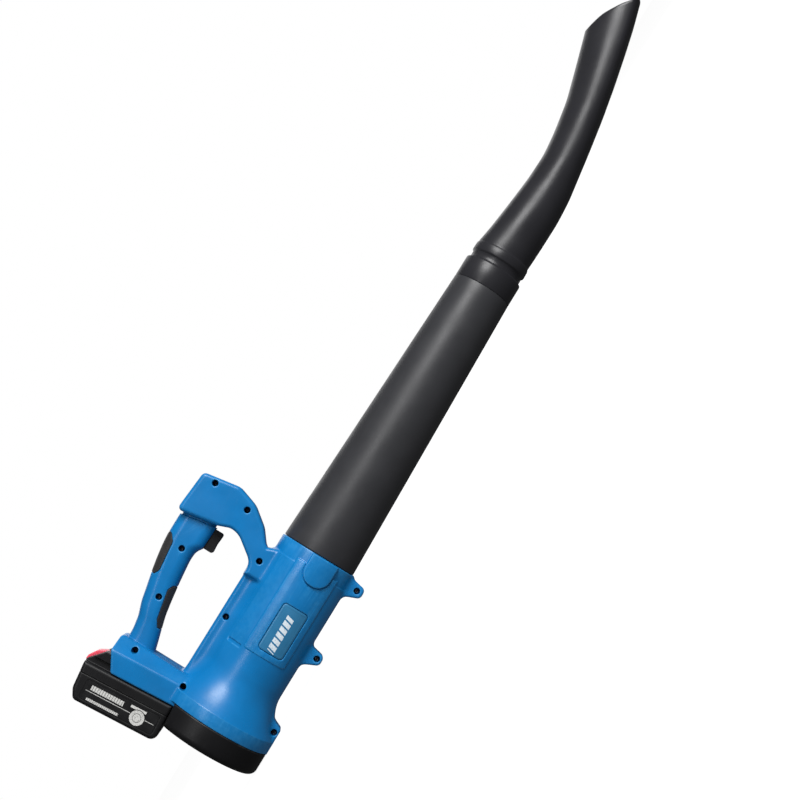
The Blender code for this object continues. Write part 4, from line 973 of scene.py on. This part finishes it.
def blower_tube():
    """Tapered tube with its rear spigot, seal groove, two bayonet lugs and front spigot."""
    wall, groove, front, end = 0.0024, SPIGOT_R - 0.0012, 0.0322, 0.3487
    corners = ((-0.0280, SPIGOT_R - wall, 0.0004), (-0.0280, SPIGOT_R, 0.0006), (-0.0090, SPIGOT_R, 0),
               (-0.0090, groove, 0), (-0.0060, groove, 0), (-0.0060, SPIGOT_R, 0),
               (-0.0002, SPIGOT_R, 0), (-0.0002, 0.0443, 0.0007), (end, 0.0347, 0.0006), (end, front, 0),
               (0.3735, front - 0.0003, 0.0005), (0.3735, front - wall, 0.0004),
               (0.3437, front - wall, 0.004), (0.3285, 0.0328, 0.010), (0.0100, 0.0419, 0.010))
    line = []
    outline = rounded(corners, 5)
    for (ax, ar), (bx, br) in zip(outline, outline[1:] + outline[:1]):
        pieces = max(1, int(abs(bx - ax) / 0.012))
        line += [(ax + (bx - ax) * k / pieces, ar + (br - ar) * k / pieces) for k in range(pieces)]
    parts = [ring_mesh("tube", circles(line))]
    lock, half_arc = -26, 3.7
    lug_section = ((-0.0210, 0.0418), (-0.0140, 0.0418), (-0.0140, 0.0446), (-0.0210, 0.0446))
    for turn in (0, math.pi):
        rings = []
        for step in range(5):
            angle = math.radians(lock - half_arc + 2 * half_arc * step / 4) + turn
            rings.append([(x, -radius * math.cos(angle), radius * math.sin(angle))
                          for x, radius in lug_section])
        parts.append(ring_mesh("lug", rings, closed=False, ends=True))
    place(joined("tube", parts), "tube_plastic", "tube", "blower_tube")


# x, underside z, top z, half width and height of the widest line, as a share of the section
NOZZLE = np.array((
    (0.3975, -0.0322, 0.0322, 0.0322, 0.50), (0.4150, -0.0329, 0.0294, 0.0317, 0.50),
    (0.4300, -0.0332, 0.0278, 0.0316, 0.50), (0.4600, -0.0336, 0.0246, 0.0315, 0.48),
    (0.4900, -0.0315, 0.0220, 0.0315, 0.46), (0.5200, -0.0268, 0.0212, 0.0320, 0.44),
    (0.5500, -0.0222, 0.0245, 0.0328, 0.41), (0.5900, -0.0154, 0.0316, 0.0340, 0.37),
    (0.6300, -0.0073, 0.0432, 0.0356, 0.32), (0.6700, 0.0018, 0.0552, 0.0372, 0.28),
    (0.7000, 0.0092, 0.0642, 0.0382, 0.26), (0.7300, 0.0180, 0.0735, 0.0388, 0.25)))
NOZZLE_TIP = 0.7300           # no section reaches further in x
# x and z along the edge of the mouth, seen from the side
MOUTH = rounded(((0.6715, 0.1200, 0), (0.6715, 0.0556, 0.003), (0.6890, 0.0495, 0.040),
                 (0.7085, 0.0365, 0.040), (0.7275, 0.0205, 0.0035), (0.7245, -0.0100, 0),
                 (0.7800, -0.0100, 0), (0.7800, 0.1200, 0)), 10)


def nozzle_stations():
    """Sections of the nozzle at close, smooth steps along x."""
    fine = np.arange(0.3975, 0.7302, 0.0010)
    width = 14
    kernel = np.hanning(2 * width + 1)
    kernel /= kernel.sum()
    columns = [fine]
    for column in range(1, 5):
        line = np.interp(fine, NOZZLE[:, 0], NOZZLE[:, column])
        start = 2 * line[0] - line[width:0:-1]
        end = 2 * line[-1] - line[-2:-width - 2:-1]
        columns.append(np.convolve(np.concatenate((start, line, end)), kernel, mode="valid"))
    return np.array(columns)


def nozzle_point(stations, x, arm, inset):
    """Point of the egg-shaped section at a place along x."""
    low, high, half, crest = (np.interp(x, stations[0], stations[k]) for k in range(1, 5))
    widest = low + (high - low) * crest
    across, upright = math.cos(arm), math.sin(arm)
    rise = (high - widest if upright > 0 else widest - low) - inset
    swell = 1.0 + 0.25 * (0.5 - crest) * (1 if upright > 0 else -1.2)
    side = math.copysign(abs(across) ** swell, across)
    return (x, (half - inset) * side, widest + rise * upright)


def mouth_x(z):
    """Furthest x that the nozzle reaches at a height."""
    edge = sorted((v, u) for u, v in MOUTH if u < 0.7750)
    return float(np.interp(z, *zip(*edge)))


def nozzle_end(stations, arm, inset):
    """x where a line along the nozzle meets the edge of the mouth."""
    x = NOZZLE_TIP
    for _ in range(40):
        reach = mouth_x(nozzle_point(stations, x, arm, inset)[2])
        x = 0.5 * (x + min(reach, NOZZLE_TIP))
    return x - 0.0001


# x and radius along the coupling collar and its groove
COLLAR = ((0.3490, 0.0344), (0.3498, 0.0347), (0.3735, 0.0347), (0.3744, 0.0343), (0.3756, 0.0322),
          (0.3765, 0.0317), (0.3828, 0.0317), (0.3838, 0.0324), (0.3846, 0.0333), (0.3856, 0.0335),
          (0.3935, 0.0333), (0.3946, 0.0329), (0.3955, 0.0323), (0.3968, 0.0322))


def nozzle():
    """Coupling collar that runs into an upswept egg-shaped duct with a scoop mouth."""
    stations = nozzle_stations()
    wall, sides = 0.0022, 144
    arms = math.tau * np.arange(sides) / sides
    mouth_start = 0.6300

    def skin(inset, back):
        ends = [nozzle_end(stations, arm, inset) - back for arm in arms]
        rings = [[nozzle_point(stations, x, arm, inset) for arm in arms]
                 for x in np.linspace(0.3985, mouth_start, 56)]
        for share in np.linspace(0, 1, 26)[1:]:
            rings.append([nozzle_point(stations, mouth_start + (end - mouth_start) * share, arm, inset)
                          for arm, end in zip(arms, ends)])
        return rings

    outer = circles(COLLAR, sides) + skin(0, 0.0007)
    rim = [[nozzle_point(stations, nozzle_end(stations, arm, wall * share) - back, arm, wall * share)
            for arm in arms] for share, back in ((0.15, 0.0002), (0.5, 0.0), (0.85, 0.0002))]
    inner = skin(wall, 0.0007)[::-1]
    socket = circles(((0.3739, 0.0300), (0.3739, 0.0325), (0.3498, 0.0325), (0.3490, 0.0328)), sides)
    piece = ring_mesh("nozzle_duct", outer + rim + inner + socket)
    place(piece, "nozzle_plastic", "nozzle", "nozzle")


# ---- trigger ----
TRIGGER = rounded(((-0.0611, 0.1000, 0.0030), (-0.0500, 0.1014, 0.022), (-0.0363, 0.1000, 0.0030),
                   (-0.0363, 0.1165, 0), (-0.0335, 0.1165, 0), (-0.0335, 0.1210, 0),
                   (-0.0635, 0.1210, 0), (-0.0635, 0.1197, 0), (-0.0611, 0.1197, 0)))


SPRING_X = -0.0560            # upright line that the return spring stands on


def trigger():
    """Finger trigger with a dished face and three shallow grip lines."""
    lattice = Lattice((-0.0640, -0.0082, 0.0995), (-0.0330, 0.0082, 0.1212), 0.00032)
    body = lattice.slab(TRIGGER, 0.0080, 0.0014)
    dish = 0.0420 - np.sqrt(lattice.y ** 2 + (lattice.z - 0.0590) ** 2)
    body = blend_max(body, dish, 0.0010)
    for x in (-0.0545, -0.0490, -0.0435):
        line = shared(lattice.from_line(x, 0.1006) - 0.0006, np.abs(lattice.y) - 0.0055)
        body = blend_max(body, -line, 0.0004)
    pocket = np.sqrt((lattice.x - SPRING_X) ** 2 + lattice.y ** 2) - 0.0042
    body = shared(body, -shared(pocket, 0.1120 - lattice.z))
    place(moulded("trigger_blade", lattice, body, 20000), "black_plastic", "trigger", "trigger")


def trigger_spring():
    """Coiled compression spring that stands in the trigger's pocket, with a mesh of its own."""
    steps, per_turn, wire, radius = 160, 32, 0.0004, 0.0030
    low, length = 0.1123, 0.0150
    rings = []
    for step in range(steps + 1):
        arm = math.tau * step / per_turn
        rise = low + wire + (length - 2 * wire) * step / steps
        ring = [(radius + wire * math.cos(a), rise + wire * math.sin(a))
                for a in (math.tau * k / 12 for k in range(12))]
        rings.append([(SPRING_X + reach * math.cos(arm), reach * math.sin(arm), z) for reach, z in ring])
    spring = ring_mesh("pull_spring", rings, closed=False, ends=True)
    place(spring, "steel", "housing", "trigger_spring")
    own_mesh(spring)


# ---- battery pack ----
PACK_SIDE = rounded(((0.0, 0.0, 0.0085), (PACK_DEPTH, 0.0, 0.0010), (PACK_DEPTH, PACK_LENGTH, 0.0010),
                     (0.0380, PACK_LENGTH, 0.006), (0.0110, 0.1048, 0.010), (0.0, 0.0992, 0.006)))
BUTTON_WELL = rounded(((0.0350, 0.1200, 0), (0.0350, 0.1000, 0), (0.0470, 0.0890, 0),
                       (0.0700, 0.0890, 0), (0.0700, 0.1200, 0)))
DECK_SLOPE = rounded(((0.0430, 0.1078, 0), (0.0610, 0.0900, 0), (0.0610, 0.1300, 0), (0.0430, 0.1300, 0)))


def pack_form(lattice):
    """Whole pack: rounded box with a shallow panel on each side."""
    pack = lattice.slab(PACK_SIDE, PACK_HALF, PACK_EDGE)
    window = shared(lattice.prism(rectangle(0.0048, 0.0062, 0.0272, 0.0948, 0.003)),
                    PACK_HALF - 0.0002 - np.abs(lattice.y))
    return blend_max(pack, -window, 0.0004)


def lower_case():
    """Rear half of the pack, with grip ribs across its rear face."""
    lattice = Lattice((0, -PACK_HALF, 0), (PACK_SPLIT, PACK_HALF, PACK_LENGTH), 0.00062)
    case = blend_max(pack_form(lattice), lattice.x - PACK_SPLIT + GAP, 0.0005)
    for z in (0.0230, 0.0290, 0.0350, 0.0650, 0.0710, 0.0770):
        rib = shared(lattice.from_line(-0.0004, z) - 0.0014, np.abs(lattice.y) - 0.0260)
        case = blend_max(case, -rib, 0.0010)
    hollow = lattice.slab(PACK_SIDE, PACK_HALF, PACK_EDGE) + PACK_WALL
    case = shared(case, -np.where(lattice.x > PACK_WALL, hollow, 1.0))
    place(moulded("pack_lower", lattice, case, 60000, pack_axes()), "black_plastic", "battery",
          "battery_lower_case")


def upper_case():
    """Front half of the pack, with the sliding deck, contact slots and the button's well."""
    lattice = Lattice((PACK_SPLIT, -PACK_HALF, 0), (0.0600, PACK_HALF, PACK_LENGTH), 0.00062)
    case = blend_max(pack_form(lattice), PACK_SPLIT - lattice.x, 0.0005)
    side = np.abs(lattice.y)
    deck = united(shared(between(lattice.x, 0.0380, 0.0600), side - 0.0262),
                  shared(between(lattice.x, 0.0500, 0.0600), side - 0.0295))
    deck = shared(deck, between(lattice.z, 0.0022, PACK_LENGTH))
    deck = blend_max(deck, -lattice.prism(DECK_SLOPE), 0.0006)
    case = blend_min(case, deck, 0.0006)
    hollow = lattice.block((0.0200, -PACK_HALF + PACK_WALL, PACK_WALL),
                           (PACK_DEPTH - PACK_WALL, PACK_HALF - PACK_WALL, 0.0860))
    cuts = shared(between(side, 0.0130 - 0.0014, 0.0130 + 0.0014), lattice.z - 0.0330,
                  0.0520 - lattice.x)
    well = shared(lattice.prism(BUTTON_WELL), side - 0.0113)
    case = shared(case, -hollow)
    case = blend_max(case, -united(cuts, well), 0.0006)
    for z in (0.0450, 0.0560, 0.0670):
        vent = shared(np.abs(lattice.z - z) - 0.0012, side - 0.0180, 0.0588 - lattice.x)
        case = blend_max(case, -vent, 0.0004)
    place(moulded("pack_upper", lattice, case, 60000, pack_axes()), "black_plastic", "battery",
          "battery_upper_case")


BUTTON = rounded(((0.0410, 0.1090, 0.0012), (0.0462, 0.1082, 0.0040), (0.0552, 0.1012, 0.0060),
                  (0.0588, 0.0940, 0.0020), (0.0588, 0.0900, 0.0006), (0.0525, 0.0900, 0),
                  (0.0410, 0.1010, 0.0006)))


def button():
    """Release button with five ribs for the thumb."""
    lattice = Lattice((0.0405, -0.0112, 0.0895), (0.0592, 0.0112, 0.1092), 0.00034)
    body = lattice.slab(BUTTON, 0.0110, 0.0012)
    along = Vector((0.0552 - 0.0462, 0, 0.1012 - 0.1082)).normalized()
    for step in range(5):
        middle = Vector((0.0458, 0, 0.1085)) + along * (0.0006 + 0.0026 * step)
        groove = lattice.from_line(middle.x, middle.z) - 0.0006
        body = blend_max(body, -shared(groove, np.abs(lattice.y) - 0.0085), 0.0005)
    place(moulded("release_button", lattice, body, 16000, pack_axes()), "red_plastic", "battery_button",
          "battery_button")


def pack_labels():
    """Film on each side of the pack, with a softened rim."""
    outline = rectangle(0.0055, 0.0070, 0.0265, 0.0940, 0.002)
    inset = rectangle(0.0056, 0.0071, 0.0264, 0.0939, 0.0019)
    count = len(outline)
    faces = [[k, (k + 1) % count, (k + 1) % count + count, k + count] for k in range(count)]
    faces += [[a + count for a in face] for face in faces]
    faces += [list(range(count))[::-1], [k + 2 * count for k in range(count)]]
    for name, side in (("right_pack_label", -1), ("left_pack_label", 1)):
        inner, outer = side * (PACK_HALF + GAP * 0.5), side * (PACK_HALF + 0.0006)
        levels = ((outline, inner), (outline, outer - side * 0.0001), (inset, outer))
        mesh = bpy.data.meshes.new(name + "_film")
        mesh.from_pydata([(u, y, v) for ring, y in levels for u, v in ring], [], faces)
        mesh.transform(to_world() @ pack_axes())
        mesh.update()
        piece = add_object(name + "_film", mesh)
        fix_normals(mesh)
        place(piece, "label_film", "battery", name)


intake_cap()
inlay("upper_inlay", UPPER_INLAY, "upper_grip_inlay")
inlay("lower_inlay", LOWER_INLAY, "lower_grip_inlay")
name_plate()
screws()
blower_tube()
nozzle()
trigger()
trigger_spring()
lower_case()
upper_case()
button()
pack_labels()

# ---- pieces whose CAD shape is kept ----
KEPT = {
    "fan_nylon": "impeller stator_vanes tail_cone",
    "steel": "motor_can rear_bearing front_bearing motor_shaft fan_nut",
    "black_plastic": "motor_end_bell switch_body terminal_block",
    "copper": "rotor_core positive_blade negative_blade",
    "soft_rubber": "motor_rubber_mount tube_seal_ring",
    "circuit_board": "control_board battery_board",
    "red_insulation": "battery_lead_positive motor_lead_positive",
    "black_insulation": "battery_lead_negative motor_lead_negative",
    "cell_sleeve": "battery_cell_1 battery_cell_2 battery_cell_3 battery_cell_4 battery_cell_5",
}
for look, nodes in KEPT.items():
    for node in nodes.split():
        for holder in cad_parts[node].material_slots:
            holder.material = LOOKS[look]


# ---- camera, light and floor ----
def make_camera():
    """Camera level with the blower's right side, rolled so that the tube points up and to the right."""
    place_at = Vector((0.0110 - CENTRE_X, -1.7500, 0.0306 + AXIS_Z))
    target = Vector((0.1940 - CENTRE_X, 0.0, 0.0136 + AXIS_Z))
    roll = math.radians(58.4)
    back = (place_at - target).normalized()
    upward = Vector((math.sin(roll), 0, math.cos(roll)))
    upward = (upward - back * upward.dot(back)).normalized()
    data = bpy.data.cameras.new("camera")
    data.lens = 70.5
    data.sensor_width = 36.0
    camera = add_object("camera", data)
    turn = Matrix((upward.cross(back), upward, back)).transposed()
    camera.matrix_world = Matrix.Translation(place_at) @ turn.to_4x4()
    bpy.context.scene.camera = camera


def area_light(name, place_at, target, size, power):
    """Rectangular lamp that faces the target."""
    data = bpy.data.lights.new(name, "AREA")
    data.shape = "RECTANGLE"
    data.size, data.size_y = size
    data.energy = power
    light = add_object(name, data)
    light.location = place_at
    light.rotation_mode = "QUATERNION"
    light.rotation_quaternion = (Vector(target) - Vector(place_at)).to_track_quat("-Z", "Y")


FILL_LIGHT = 0.30             # even light from all round, under the lamps
SHEEN_LIGHT = 0.07            # the same surroundings as glossy surfaces mirror them


def make_lights():
    """Three lamps, and surroundings that are white to the camera and dimmer to the object."""
    middle = (-0.05, 0, 0.09)
    area_light("key", (1.2, -1.45, 1.15), middle, (1.0, 1.1), 60)
    area_light("strip", (0.25, -2.0, 1.25), middle, (2.6, 0.22), 17)
    area_light("back", (0.1, 2.0, 1.0), middle, (2.4, 1.4), 12)
    world = bpy.data.worlds.new("studio")
    world.use_nodes = True
    tree = world.node_tree
    backdrop = tree.nodes["Background"]
    backdrop.inputs["Color"].default_value = (1, 1, 1, 1)
    rays = tree.nodes.new("ShaderNodeLightPath")
    strength = None
    for kind, level in (("Is Diffuse Ray", FILL_LIGHT), ("Is Camera Ray", 1.0)):
        choice = tree.nodes.new("ShaderNodeMix")
        choice.inputs["A"].default_value = SHEEN_LIGHT
        choice.inputs["B"].default_value = level
        if strength:
            tree.links.new(strength, choice.inputs["A"])
        tree.links.new(rays.outputs[kind], choice.inputs["Factor"])
        strength = choice.outputs["Result"]
    tree.links.new(strength, backdrop.inputs["Strength"])
    bpy.context.scene.world = world
    bpy.context.scene.view_settings.view_transform = "Standard"


def make_floor():
    """Pale floor that glows a little, so that it stays as light as the surroundings."""
    mesh = bpy.data.meshes.new("floor")
    corners = [(u, v, 0) for u, v in rectangle(-6.0, -6.0, 6.0, 6.0)]
    mesh.from_pydata(corners, [], [(0, 1, 2, 3)])
    floor = add_object("floor", mesh)
    look = Look("floor_paint", (0.93, 0.93, 0.93), 0.9)
    look.colour(look.mix(look.spread(look.noise(3.0), 0, 1), (0.13, 0.13, 0.13), (0.15, 0.15, 0.15)))
    look.shader.inputs["Emission Color"].default_value = (1, 1, 1, 1)
    look.shader.inputs["Emission Strength"].default_value = 0.93
    mesh.materials.append(look.material)
    floor.visible_diffuse = False
    floor.visible_glossy = False


make_camera()
make_lights()
make_floor()
